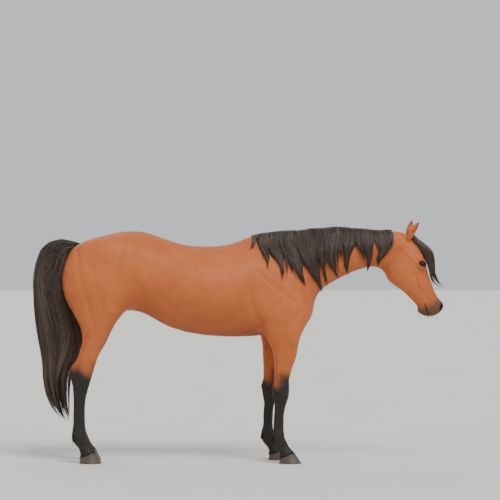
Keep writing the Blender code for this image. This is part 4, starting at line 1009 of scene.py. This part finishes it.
def mane_lock(root, root_width, depth, count, line, wide, wave=0.005, side=-1, clumps=6):
    """Paths of one lock's strands, which way they face, where each roots, and their tones, in which painted
    light and shade are mixed with each lock's own tone.
    """
    rows = [(root, float(crest(root)))] + list(line)
    fine = np.linspace(0, 1, LOCK_ROWS)
    middle = smooth_through(rows, fine)
    way = unit(np.gradient(middle, axis=0))
    across = np.stack([-way[:, 1], way[:, 0]], 1)
    width = np.interp(fine, np.linspace(0, 1, len(wide)), wide)
    # How far the skin stands out under the lock, on a grid over it; below the neck the hair hangs free.
    grid = np.zeros((LOCK_ROWS, LOCK_COLUMNS))
    for column, share in enumerate(np.linspace(-1, 1, LOCK_COLUMNS)):
        stands = 0.0
        for row in range(LOCK_ROWS):
            x, z = middle[row] + across[row] * share * width[row] / 2
            found = side_of_skin(x, z, side)
            stands = found if found is not None else max(stands - 0.0006, 0.0)
            grid[row, column] = stands
    kernel = np.ones(5) / 5
    padded = np.pad(grid, ((2, 2), (0, 0)), mode="edge")
    grid = np.stack([np.convolve(one, kernel, "valid") for one in padded.T], 1)
    own_u = rng.uniform(-1, 1, count)
    deep = rng.uniform(0, 1, count)
    clump = rng.integers(0, clumps, count)
    clump_u = np.linspace(-0.8, 0.8, clumps)[rng.permutation(clumps)]
    clump_length = rng.uniform(0.84, 1.0, clumps)
    clump_length[rng.integers(0, clumps)] = 1.0
    clump_phase = rng.uniform(0, 2 * math.pi, clumps)
    length = clump_length[clump] * rng.uniform(0.86, 1.0, count)
    at = STRAND_STEPS[None] * length[:, None]
    gather = 0.90 * ramp(at, 0.22, 1.0)
    u = own_u[:, None] * (1 - gather) + clump_u[clump][:, None] * gather * 0.75
    u += rng.normal(0, 0.02, count)[:, None] * ramp(at, 0.1, 0.4)
    mid_x, mid_z, across_x, across_z, broad = (
        np.interp(at, fine, column) for column in (*middle.T, *across.T, width))
    x = mid_x + across_x * u * broad / 2
    z = mid_z + across_z * u * broad / 2
    phase = clump_phase[clump][:, None] + rng.normal(0, 0.25, count)[:, None]
    swing = wave * ramp(at, 0.12, 0.5) * np.sin(2 * math.pi * 2.3 * at + phase)
    x += swing
    root_x = np.clip(root + own_u * root_width / 2, 0.085, 1.020) + rng.uniform(-0.008, 0.008, count)
    ground = crest(root_x)[:, None]
    # The hair stands up from its root, arches over the crest and then hangs.
    rise = (0.006 + 0.009 * deep[:, None]) * rng.uniform(0.7, 1.15, count)[:, None]
    rise = rise * ramp(root_x, 0.02, 0.24)[:, None]
    reach = np.sum(np.linalg.norm(np.diff(middle, axis=0), axis=1))
    gone = at * reach / 0.075
    arch = rise * np.sin(math.pi * np.clip(gone, 0, 1)) ** 0.8
    z = np.where(gone < 1, ground + arch + (z - ground) * ramp(gone, 0.15, 1.0), z) - 0.005 * (at == 0)
    column = (u + 1) * (LOCK_COLUMNS // 2)
    low = np.clip(column.astype(int), 0, LOCK_COLUMNS - 2)
    row = np.clip(at * (LOCK_ROWS - 1), 0, LOCK_ROWS - 1.001)
    row_low = row.astype(int)
    down, aside = row - row_low, np.clip(column - low, 0, 1)
    stands = 0
    for dr, wr in ((0, 1 - down), (1, down)):
        for dc, wc in ((0, 1 - aside), (1, aside)):
            stands = stands + grid[row_low + dr, low + dc] * wr * wc
    fullness = 0.012 * depth + (0.003 + 0.021 * deep[:, None]) * (1 - 0.85 * u ** 2)
    lie = 0.002 + fullness * ramp(at, 0.03, 0.20) * (1 - 0.4 * at)
    root_y = side * rng.uniform(-0.008, 0.014, count)[:, None]
    out = ramp(gone, 0.10, 1.25)
    y = side * (stands + lie + 0.5 * np.abs(swing)) * out + root_y * (1 - out)
    x = root_x[:, None] + (x - root_x[:, None]) * ramp(gone, 0.0, 0.8)
    least = (0.2 + 0.8 * ramp(gone, 0, 0.5)) * np.clip(lie, 0.0045, 0.012)
    paths = clear_of_skin(np.stack([x, y, z], 2), np.where(at == 0, 0, least))
    paths[:, 1:-1] = 0.5 * paths[:, 1:-1] + 0.25 * (paths[:, :-2] + paths[:, 2:])
    facing = np.stack([np.zeros_like(out), side * (0.05 + out), 1.0 - 0.95 * out], 2)
    # Each lock and clump has its own tone. Painted light and shade: strands that lie further out are lighter,
    # and strands towards the lock's edges darker, so the gaps between locks read as shade.
    tone = rng.uniform(0.22, 0.66) + rng.uniform(-0.28, 0.28, clumps)[clump] + 0.30 * (deep - 0.4)
    tone += 0.08 - 1.10 * np.abs(own_u) ** 2.5
    return paths, unit(facing), root_x, np.clip(tone + rng.normal(0, 0.10, count), 0, 1)


mane_locks = [mane_lock(*lock) for lock in MANE_LOCKS]
# Thin stray locks lie between and over the large ones, in the same fall.
for _ in range(STRAY_LOCKS):
    root, root_width, _, _, line, _ = MANE_LOCKS[int(rng.integers(0, len(MANE_LOCKS)))]
    shift = rng.uniform(-0.42, 0.42) * root_width
    shorter = rng.uniform(0.50, 0.95)
    rows = smooth_through([(root, line[0][1] + 0.05)] + list(line), np.linspace(0.3, shorter, 4))
    rows[:, 0] += shift * np.linspace(0.95, 0.35, 4)
    mane_locks.append(mane_lock(root + shift, 0.03, rng.uniform(0.8, 1.5), STRAY_HAIRS, rows, STRAY_WIDTHS,
                                wave=0.004, clumps=2))
# Short hairs stand along the top of the crest and fall a little to the left.
for start in np.linspace(0.10, 1.01, CREST_LOCKS) + rng.uniform(-0.012, 0.012, CREST_LOCKS):
    top, fall = float(crest(start)), 0.024 + 0.040 * rng.uniform()
    left_line = ((start - 0.15 * fall, top - 0.4 * fall), (start + rng.uniform(-0.5, 0.2) * fall, top - fall))
    mane_locks.append(mane_lock(start, 0.08, 0.1, CREST_HAIRS, left_line, CREST_WIDTHS, wave=0.002, side=1,
                                clumps=12))
mane_paths, mane_facing, mane_roots, mane_tones_and_shade = (np.concatenate(each) for each in zip(*mane_locks))
thirds = np.array_split(np.argsort(mane_roots), 3)
for label, chosen in zip(("mane_back", "mane_middle", "mane_front"), thirds):
    share = (mane_roots[chosen] - mane_roots[chosen].min()) / np.ptp(mane_roots[chosen])
    widths = rng.uniform(0.0016, 0.0030, len(chosen))
    spots = hair_patch(share, rng.uniform(0, 1, len(chosen)))
    lock_hair = strands(label, mane_paths[chosen], mane_facing[chosen], widths, spots, long_hair,
                        tone=mane_tones_and_shade[chosen])
    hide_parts("mane")

# ------------------------------------------------------------------ forelock
# The front of the mane, which roots on the poll between the ears and falls forward over the forehead,
# blown a little to the right, down to a few wisps beside the nose. Closed tapered strands, in locks.


def bundle(rows, count, clumps, starts, ends, core, wave, steps=STRAND_STEPS):
    """Paths and facings of hairs that fill a flattened bundle. Each row holds the x and z of its outer
    edge, the x and z of its inner edge, half its width and its middle's y. Hairs root from `starts` of
    the way down, within `core` metres of its middle, and gather into clumps that reach `ends`."""
    places = np.linspace(0, 1, 90)
    table = smooth_through(rows, places)
    clump = rng.integers(0, clumps, count)
    clump_far = np.sqrt(rng.uniform(0.10, 1.0, clumps))
    clump_turn = rng.permutation(clumps) / clumps * 2 * math.pi + rng.uniform(-0.1, 0.1, clumps)
    clump_end = rng.uniform(ends[0], ends[1], clumps)
    clump_phase = rng.uniform(0, 2 * math.pi, clumps)
    far = np.clip(clump_far[clump] + rng.normal(0, 0.18, count), 0.05, 1.0)
    turn = clump_turn[clump] + rng.normal(0, 0.20, count) / np.maximum(far, 0.3)
    first = starts[0] + (starts[1] - starts[0]) * rng.uniform(0, 1, count) ** 1.2
    last = clump_end[clump] * rng.uniform(0.88, 1.0, count)
    at = first[:, None] + (last - first)[:, None] * steps[None]
    gone = at / clump_end[clump][:, None]
    gather = 0.85 * ramp(gone, 0.45, 1.0)
    far = far[:, None] * (1 - gather) + clump_far[clump][:, None] * gather
    turn = turn[:, None] * (1 - gather) + clump_turn[clump][:, None] * gather
    outer_x, outer_z, inner_x, inner_z, wide, aside = (np.interp(at, places, column) for column in table.T)
    outer, inner = np.stack([outer_x, outer_z], 2), np.stack([inner_x, inner_z], 2)
    half = np.linalg.norm(outer - inner, axis=2) / 2
    broad = np.maximum(wide, 0.002)
    held = np.clip(core / np.maximum(half, broad), 0, 1)
    opened = held + (1 - held) * ramp(at - first[:, None], 0.0, 0.10)
    swing = wave * ramp(at - first[:, None], 0.05, 0.5) * np.sin(9.0 * at + clump_phase[clump][:, None])
    toward = unit(outer - inner)
    flat = (outer + inner) / 2 + toward * (half * far * opened * np.cos(turn) + swing)[..., None]
    y = aside + broad * far * opened * np.sin(turn) + 0.6 * swing
    paths = np.stack([flat[..., 0], y, flat[..., 1]], 2)
    facing = np.stack([toward[..., 0] * np.cos(turn), np.sin(turn), toward[..., 1] * np.cos(turn)], 2)
    # Each clump has its own tone. As painted light and shade, hairs further out in the bundle are lighter and
    # those inside it darker.
    tone = rng.uniform(0.20, 0.85, clumps)[clump] + 0.3 * (far[:, 0] - 0.8) + rng.normal(0, 0.12, count)
    return paths, unit(facing), first, np.clip(tone, 0, 1)


FORELOCK_ROWS = (
    (1.134, 1.552, 1.134, 1.505, 0.022, 0.000), (1.164, 1.540, 1.156, 1.478, 0.034, 0.000),
    (1.204, 1.503, 1.188, 1.440, 0.040, -0.004), (1.258, 1.460, 1.224, 1.392, 0.042, -0.010),
    (1.302, 1.414, 1.254, 1.345, 0.041, -0.014), (1.318, 1.345, 1.270, 1.290, 0.037, -0.016),
    (1.326, 1.270, 1.282, 1.230, 0.031, -0.016), (1.352, 1.212, 1.316, 1.178, 0.020, -0.016),
    (1.388, 1.162, 1.372, 1.146, 0.004, -0.016))
FORELOCK_HAIRS, FORELOCK_CLUMPS = 1450, 15
FORELOCK_ROOTS = 0.09             # the share of the way down over which its hairs root
paths, facing, first, tones = bundle(FORELOCK_ROWS, FORELOCK_HAIRS, FORELOCK_CLUMPS, (0.0, FORELOCK_ROOTS),
                                     (0.74, 1.0), 0.020, 0.005)
least = 0.0015 + 0.006 * rng.uniform(0, 1, len(paths))[:, None]
paths = clear_of_skin(paths, np.where(np.arange(paths.shape[1]) == 0, 0, least))
spots = hair_patch(rng.uniform(0, 1, len(paths)), first / FORELOCK_ROOTS)
forelock = strands("forelock_hair", paths, facing, rng.uniform(0.0014, 0.0026, len(paths)), spots, long_hair,
                   tone=tones)
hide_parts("forelock")

# ------------------------------------------------------------------ tail
# Long coarse hair that roots along the fleshy dock, hangs in a full curve behind the haunches and
# thins to uneven wavy tips above the fetlocks. Closed tapered strands, gathered in locks.

TAIL_ROWS = (
    (-1.050, 1.468, -1.075, 1.398, 0.026, 0), (-1.130, 1.494, -1.125, 1.402, 0.040, 0),
    (-1.200, 1.500, -1.150, 1.378, 0.058, 0), (-1.272, 1.485, -1.142, 1.322, 0.074, 0),
    (-1.332, 1.436, -1.132, 1.266, 0.084, 0), (-1.370, 1.340, -1.131, 1.206, 0.088, 0),
    (-1.386, 1.225, -1.128, 1.132, 0.091, 0), (-1.380, 1.110, -1.107, 1.042, 0.091, 0),
    (-1.368, 0.985, -1.074, 0.952, 0.092, 0), (-1.356, 0.870, -1.050, 0.852, 0.090, 0),
    (-1.340, 0.765, -1.064, 0.762, 0.086, 0), (-1.330, 0.660, -1.106, 0.672, 0.080, 0),
    (-1.324, 0.555, -1.142, 0.582, 0.072, 0), (-1.304, 0.458, -1.150, 0.482, 0.060, 0),
    (-1.268, 0.376, -1.148, 0.392, 0.046, 0), (-1.213, 0.306, -1.142, 0.312, 0.028, 0),
    (-1.152, 0.254, -1.138, 0.254, 0.006, 0))
TAIL_STEPS = np.linspace(0, 1, 15) ** 1.15
TAIL_HAIRS, TAIL_CLUMPS = 4200, 56
TAIL_ROOTS = 0.27                 # along the dock
paths, facing, first, tones = bundle(TAIL_ROWS, TAIL_HAIRS, TAIL_CLUMPS, (0.0, TAIL_ROOTS), (0.89, 1.0),
                                     0.032, 0.014, TAIL_STEPS)
order = np.argsort(facing[:, 8, 1])
for label, chosen in zip(("tail_right", "tail_middle", "tail_left"), np.array_split(order, 3)):
    spots = hair_patch(rng.uniform(0, 1, len(chosen)), first[chosen] / TAIL_ROOTS)
    widths = rng.uniform(0.0022, 0.0042, len(chosen))
    tail_hair = strands(label, paths[chosen], facing[chosen], widths, spots, long_hair, tone=tones[chosen])
    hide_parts("tail")

# ------------------------------------------------------------------ coat
# The short hairs that lie flat over the skin, as small closed pointed tufts that overlap along the lie
# of the coat. They stand out most where the form turns: elbow, flank, breast, belly, jaw and heels.

tuft_coat = coat_material("bay_coat_tufts", False)
mesh = skin.data
mesh.calc_loop_triangles()
corners = rows_of(mesh.loop_triangles, "vertices", 3, np.int32)
points, normals = points_of(mesh), normals_of(mesh)
bare_here = rows_of(mesh.attributes["bare"].data, "value", 1)[:, 0]
spans = points[corners]
middles = spans.mean(1)
areas = np.linalg.norm(np.cross(spans[:, 1] - spans[:, 0], spans[:, 2] - spans[:, 0]), axis=1) / 2


def scattered(weights, count):
    """Random places on the skin, with their normals, as many to each face as its area and weight give."""
    chances = np.cumsum(areas * weights)
    face = np.searchsorted(chances, rng.uniform(0, chances[-1], count))
    one, two = rng.uniform(0, 1, (2, count))
    flip = one + two > 1
    one, two = np.where(flip, 1 - one, one), np.where(flip, 1 - two, two)
    shares = np.stack([1 - one - two, one, two], 1)[..., None]
    keep = (shares[..., 0] * bare_here[corners[face]]).sum(1) < 0.35
    place = (spans[face] * shares).sum(1)[keep]
    return place, unit((normals[corners[face]] * shares).sum(1)[keep])


def lie_of_coat(points, normals):
    """The way the hairs point: back over the trunk, and down the shoulder, haunch, legs and face."""
    x, y, z = points.T
    along, out = head_places(points)
    slope = 0.30 + 0.55 * ramp(x, 0.05, 0.60) + 0.9 * ramp(x, -0.60, -0.90)
    slope += 1.2 * bell(x, 0.16, 0.32) * ramp(z, 1.45, 1.10)
    slope = slope * ramp(normals[:, 2], -0.75, -0.30) + 6.0 * ramp(z, 0.98, 0.78) * (z < 0.98)
    lies = np.stack([-np.ones_like(x), 0.0 * y, -slope], 1)
    jaw = 0.55 * ramp(out, -0.02, -0.10) * ramp(along, 0.45, 0.30)
    face = HEAD_DOWN - HEAD_FRONT * jaw[:, None]
    ears = ramp(z, 1.49, 1.53)[:, None] * (x > 1.09)[:, None]
    face = face * (1 - ears) + np.array((0.02, 0.0, 1.0)) * ears
    head = ramp(x - 0.25 * (z - 1.3), 1.00, 1.08)[:, None]
    lies = unit(lies) * (1 - head) + unit(face) * head
    lies = lies + rng.normal(0, 0.10, lies.shape)
    return unit(lies - normals * (lies * normals).sum(1, keepdims=True))


def unwrapped(points):
    """Where a place of the skin lies on the bake map: four leg strips, trunk and neck, and the head."""
    x, y, z = points.T
    along, out = head_places(points)
    around = np.arctan2(z - (1.18 + 0.22 * ramp(x, 0.2, 0.8)), y) / (2 * math.pi) + 0.5
    legs_x = np.where(x > 0, 0.30, -1.00)
    leg = (x > 0) * 2 + (y > 0)
    leg_around = np.arctan2(np.abs(y) - 0.125, x - legs_x) / (2 * math.pi) + 0.5
    length = np.clip((x + 1.15) / 2.25, 0, 1)
    u = np.where(z < 0.80, leg * 0.25 + 0.005 + 0.235 * leg_around, 0.01 + 0.72 * length)
    v = np.where(z < 0.80, 0.005 + 0.39 * z / 0.80, 0.42 + 0.565 * around)
    head = (x - 0.25 * (z - 1.3) > 1.04) & (z > 0.9)
    head_around = np.arctan2(y, out + 0.06) / (2 * math.pi) + 0.5
    u = np.where(head, 0.755 + 0.235 * np.clip((along + 0.12) / 0.78, 0, 1), u)
    return np.stack([u, np.where(head, 0.42 + 0.565 * head_around, v)], 1)


def longer_coat(points, normals):
    """How much longer than its neighbours the coat grows: along the belly, breast, elbows, jaw and heels."""
    x, y, z = points.T
    along, out = head_places(points)
    belly = 0.9 * ramp(normals[:, 2], -0.75, -0.95) * ramp(z, 1.05, 0.95) * (z > 0.8)
    breast = 0.8 * ramp(x, 0.36, 0.44) * ramp(np.abs(y), 0.10, 0.02) * ramp(z, 1.25, 1.10) * (z > 0.85)
    elbow = 0.9 * np.exp(-((x - 0.13) / 0.07) ** 2 - ((z - 0.90) / 0.08) ** 2)
    flank = 0.7 * np.exp(-((x + 0.62) / 0.10) ** 2 - ((z - 1.00) / 0.10) ** 2)
    buttock = 0.6 * ramp(normals[:, 0], -0.5, -0.9) * (x < -0.8) * (z > 0.6)
    heels = 0.7 * ramp(normals[:, 0], -0.3, -0.8) * (z < 0.45)
    jaw = 1.0 * ramp(normals[:, 2], -0.5, -0.9) * (x > 0.95) * ramp(along, 0.52, 0.40)
    return belly + breast + elbow + flank + buttock + heels + jaw


def tones_of_hairs(middle, spread, count):
    """Tones from 0 to 1 that differ about a middle one."""
    return np.clip(rng.normal(middle, spread, count), 0, 1)


def coat_piece(name, weights, count, tuft, nodes):
    """A piece of the coat: a number of tufts spread by weight. A tuft has its length, width and lift."""
    place, facing = scattered(weights, count)
    longer = longer_coat(place, facing)
    length, width, lift = tuft
    reach = length * rng.uniform(0.75, 1.25, len(place)) * (1 + longer)
    rise = lift * rng.uniform(0.4, 1.4, len(place)) * (1 + 1.2 * longer)
    lies = lie_of_coat(place, facing)
    root = place - facing * 0.0004 - lies * reach[:, None] * 0.4
    tip = place + lies * reach[:, None] * 0.6 + facing * rise[:, None]
    wide = width * rng.uniform(1.3, 2.2, len(place)) * (1 + 0.3 * longer)
    spots = np.clip(unwrapped(place), 0, 1 - PATCH)
    piece = strands(name, np.stack([root, tip], 1), np.repeat(facing[:, None], 2, 1), wide, spots, tuft_coat,
                    thick=0.10, smooth=False, markings=markings(place),
                    tone=tones_of_hairs(0.56, 0.11, len(place)), bare=np.zeros(len(place)))
    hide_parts(*nodes)


# Each tuft's length, width and lift in metres.
TRUNK_TUFT, LEG_TUFT, FACE_TUFT = (0.0175, 0.0030, 0.0009), (0.0110, 0.0020, 0.0008), (0.0062, 0.0011, 0.0005)
TRUNK_NODES = ("neck", "forequarters", "barrel", "hindquarters")
LEG_NODES = [part + ending for _, ending in SIDES for part in LIMBS]
on_face = ramp(middles[:, 0] - 0.25 * (middles[:, 2] - 1.3), 1.03, 1.05) * (middles[:, 2] > 0.9)
on_legs = ramp(middles[:, 2], 0.70, 0.68) * (1 - on_face)
on_trunk = (1 - on_face) * (1 - on_legs)
# The muzzle's fine hairs stand closer together than the rest of the face's.
face_share = on_face * (1 + 1.5 * ramp(head_places(middles)[0], 0.40, 0.52))
coat_piece("coat_trunk_right", on_trunk * (middles[:, 1] < 0), 38000, TRUNK_TUFT, TRUNK_NODES)
coat_piece("coat_trunk_left", on_trunk * (middles[:, 1] >= 0), 38000, TRUNK_TUFT, TRUNK_NODES)
coat_piece("coat_legs", on_legs, 30000, LEG_TUFT, LEG_NODES)
coat_piece("coat_head", face_share, 34000, FACE_TUFT, ["head", "ear_left", "ear_right"])

# ------------------------------------------------------------------ long coat hairs
# The longer hairs of coat and face: a fringe over each coronet, the feather behind the fetlocks, hairs
# that fill the ears, lashes on the upper lids, and whiskers on lips and chin. All are closed strands.

ROOT_DEPTH = 0.001                # of the long hairs under the skin


def bent(roots, ways, pull, reach, points):
    """Paths of some points that leave each root along its way and are pulled round as they grow. The reach
    of each lies between two lengths."""
    t = np.linspace(0, 1, points)[None, :, None]
    reach = rng.uniform(*reach, len(roots))[:, None, None]
    pull = np.broadcast_to(pull, roots.shape)[:, None]
    return roots[:, None] + reach * (unit(ways)[:, None] * t + pull * t ** 2)


def long_piece(name, place, facing, paths, widths, tones, nodes, bay=True, smooth=True):
    """A piece of long hairs that root at places of the skin, in the coat's own colours or else black."""
    spots = np.clip(unwrapped(place), 0, 1 - PATCH)
    facing = np.repeat(facing[:, None], paths.shape[1], 1)
    material, slot, extra = long_hair, "black_hair", {}
    if bay:
        material, slot = tuft_coat, "bay_coat"
        extra = {"markings": markings(place), "bare": np.zeros(len(place))}
    piece = strands(name, paths, facing, widths, spots, material, thick=0.35 if smooth else 0.15,
                    smooth=smooth, tone=tones, **extra)
    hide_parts(*nodes)


def astray(ways, spread):
    """Directions that each differ a little from the ones given."""
    return ways + rng.normal(0, spread, ways.shape)


# The fringe over each coronet.
height = above_coronet(middles)
FEET = [part + ending for _, ending in SIDES for part in ("fore_pastern", "hind_pastern")]
place, facing = scattered((middles[:, 2] < 0.16) * (height < 0.014) * (height > -0.004), 3200)
count = len(place)
ways = astray(np.array((0.0, 0.0, -1.0)) + facing * np.array((0.30, 0.20, 0.0)), 0.06)
paths = bent(place - facing * ROOT_DEPTH, ways, -facing * 0.10, (0.010, 0.017), 3)
long_piece("coronet_fringe", place, facing, paths, rng.uniform(0.0020, 0.0034, count),
           tones_of_hairs(0.5, 0.2, count), FEET)

# The feather behind the fetlocks.
fetlock = (np.abs(middles[:, 2] - 0.190) < 0.035) * ramp(unit(normals[corners].mean(1))[:, 0], -0.45, -0.85)
place, facing = scattered(fetlock, 1500)
count = len(place)
ways = astray(facing * 0.30 + np.array((0.0, 0.0, -1.0)), 0.06)
paths = bent(place - facing * ROOT_DEPTH, ways, (0.10, 0.0, -0.30), (0.012, 0.026), 4)
long_piece("fetlock_feather", place, facing, paths, rng.uniform(0.0012, 0.0022, count),
           tones_of_hairs(0.45, 0.2, count), FEET)

# Hairs that fill the ears: they root on the hollow side, which opens forwards and out.
ear_zone = (middles[:, 2] > 1.530) * (middles[:, 0] > 1.125) * (np.abs(middles[:, 1]) > 0.028)
place, facing = scattered(ear_zone, 5000)
inside = facing @ unit(np.array((0.75, 0.0, 0.15))) + 0.35 * facing[:, 1] * np.sign(place[:, 1]) > 0.80
place, facing = place[inside], facing[inside]
count = len(place)
ways = astray(facing * 0.35 + np.array((0.15, 0.0, 1.0)), 0.15)
paths = bent(place - facing * ROOT_DEPTH, ways, (0.10, 0.0, 0.10), (0.005, 0.011), 3)
long_piece("ear_hairs", place, facing, paths, rng.uniform(0.0007, 0.0013, count),
           tones_of_hairs(0.7, 0.2, count), ["ear_left", "ear_right"], smooth=False)

# Lashes on the upper lids.
LASHES = 90                       # on each upper lid
LASH_WIDTH = 0.0006
lash_roots, lash_ways, lash_pulls = [], [], []
for side, centre in EYES.items():
    outward, front, up = eye_axes(side)
    a = rng.uniform(-0.82 * LID_BACK, 0.74 * LID_FRONT, LASHES)
    share = np.where(a > 0, a / LID_FRONT, -a / LID_BACK)
    b = LID_UP * (1 - share ** np.where(a > 0, BOW_FRONT, BOW_BACK)) + 0.0012
    high = EYE_RADIUS + LID_THICKNESS - (a ** 2 + b ** 2) / (2 * EYE_RADIUS) * 1.1
    start = np.array(centre) + a[:, None] * front + b[:, None] * up + high[:, None] * outward
    lash_roots.append(np.array([skin_tree.find_nearest(Vector(one))[0] for one in start]) - outward * 0.0005)
    spray = a[:, None] / LID_FRONT * front * 0.35
    lash_ways.append(astray(outward + spray - 0.25 * up, 0.05))
    lash_pulls.append(np.broadcast_to(0.35 * up - 0.1 * outward, (LASHES, 3)))
place = np.concatenate(lash_roots)
count = len(place)
paths = bent(place, np.concatenate(lash_ways), np.concatenate(lash_pulls), (0.006, 0.011), 6)
long_piece("eyelashes", place, np.broadcast_to((0.0, 0.0, 1.0), place.shape), paths,
           np.full(count, LASH_WIDTH), rng.uniform(0, 0.4, count), ["head"], bay=False)

# Whiskers: single stiff hairs on the lips, chin and round the eyes.
along, out = head_places(middles)
by_eye = near_eye(middles)
whisker_zone = ramp(along, 0.50, 0.53) * (out < -0.02) + 0.25 * (by_eye < 0.05) * (by_eye > 0.034)
place, facing = scattered(whisker_zone * (middles[:, 0] > 1.1), 130)
count = len(place)
ways = astray(facing + 0.5 * HEAD_DOWN, 0.12)
paths = bent(place - facing * ROOT_DEPTH, ways, (-0.05, 0.0, -0.25), (0.014, 0.036), 7)
long_piece("whiskers", place, facing, paths, rng.uniform(0.0004, 0.0007, count),
           rng.uniform(0, 0.6, count), ["head"], bay=False)

# ------------------------------------------------------------------ chestnuts
# Small dry plates of horn on the inner side of each leg, above the knees and below the hocks: flattened
# ovals with a rough layered surface, grown from the skin.

CHESTNUT_SIZE = (0.009, 0.0035, 0.021)
# Where each one grows: the part it lies on, its side (-1 right), and its place in side view.
CHESTNUTS = (
    ("fore_left", "forearm_left", 1, 0.238, 0.660), ("fore_right", "forearm_right", -1, 0.308, 0.660),
    ("hind_left", "hind_cannon_left", 1, -1.030, 0.560),
    ("hind_right", "hind_cannon_right", -1, -1.010, 0.560))
for label, under, side, x, z in CHESTNUTS:
    on_skin, facing, _, _ = skin_tree.ray_cast(Vector((x, 0.0, z)), Vector((0, side, 0)), 0.3)
    bm = bmesh.new()
    bmesh.ops.create_icosphere(bm, subdivisions=4, radius=1.0)
    for vertex in bm.verts:
        across, _, down = vertex.co
        vertex.co *= 1 + (0.10 * math.sin(9 * down + 3 * across) + 0.07 * math.sin(17 * across + 5))
        vertex.co = Vector([a * b for a, b in zip(vertex.co, CHESTNUT_SIZE)])
    turned = Vector((0, -1, 0)).rotation_difference(facing).to_matrix().to_4x4()
    bmesh.ops.transform(bm, matrix=Matrix.Translation(on_skin) @ turned, verts=bm.verts)
    plate = make_object("chestnut_" + label, bm, horn.material)
    paint(plate.data, "grown", np.full(len(plate.data.vertices), 0.2))
    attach(plate, "root")
    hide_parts(under)
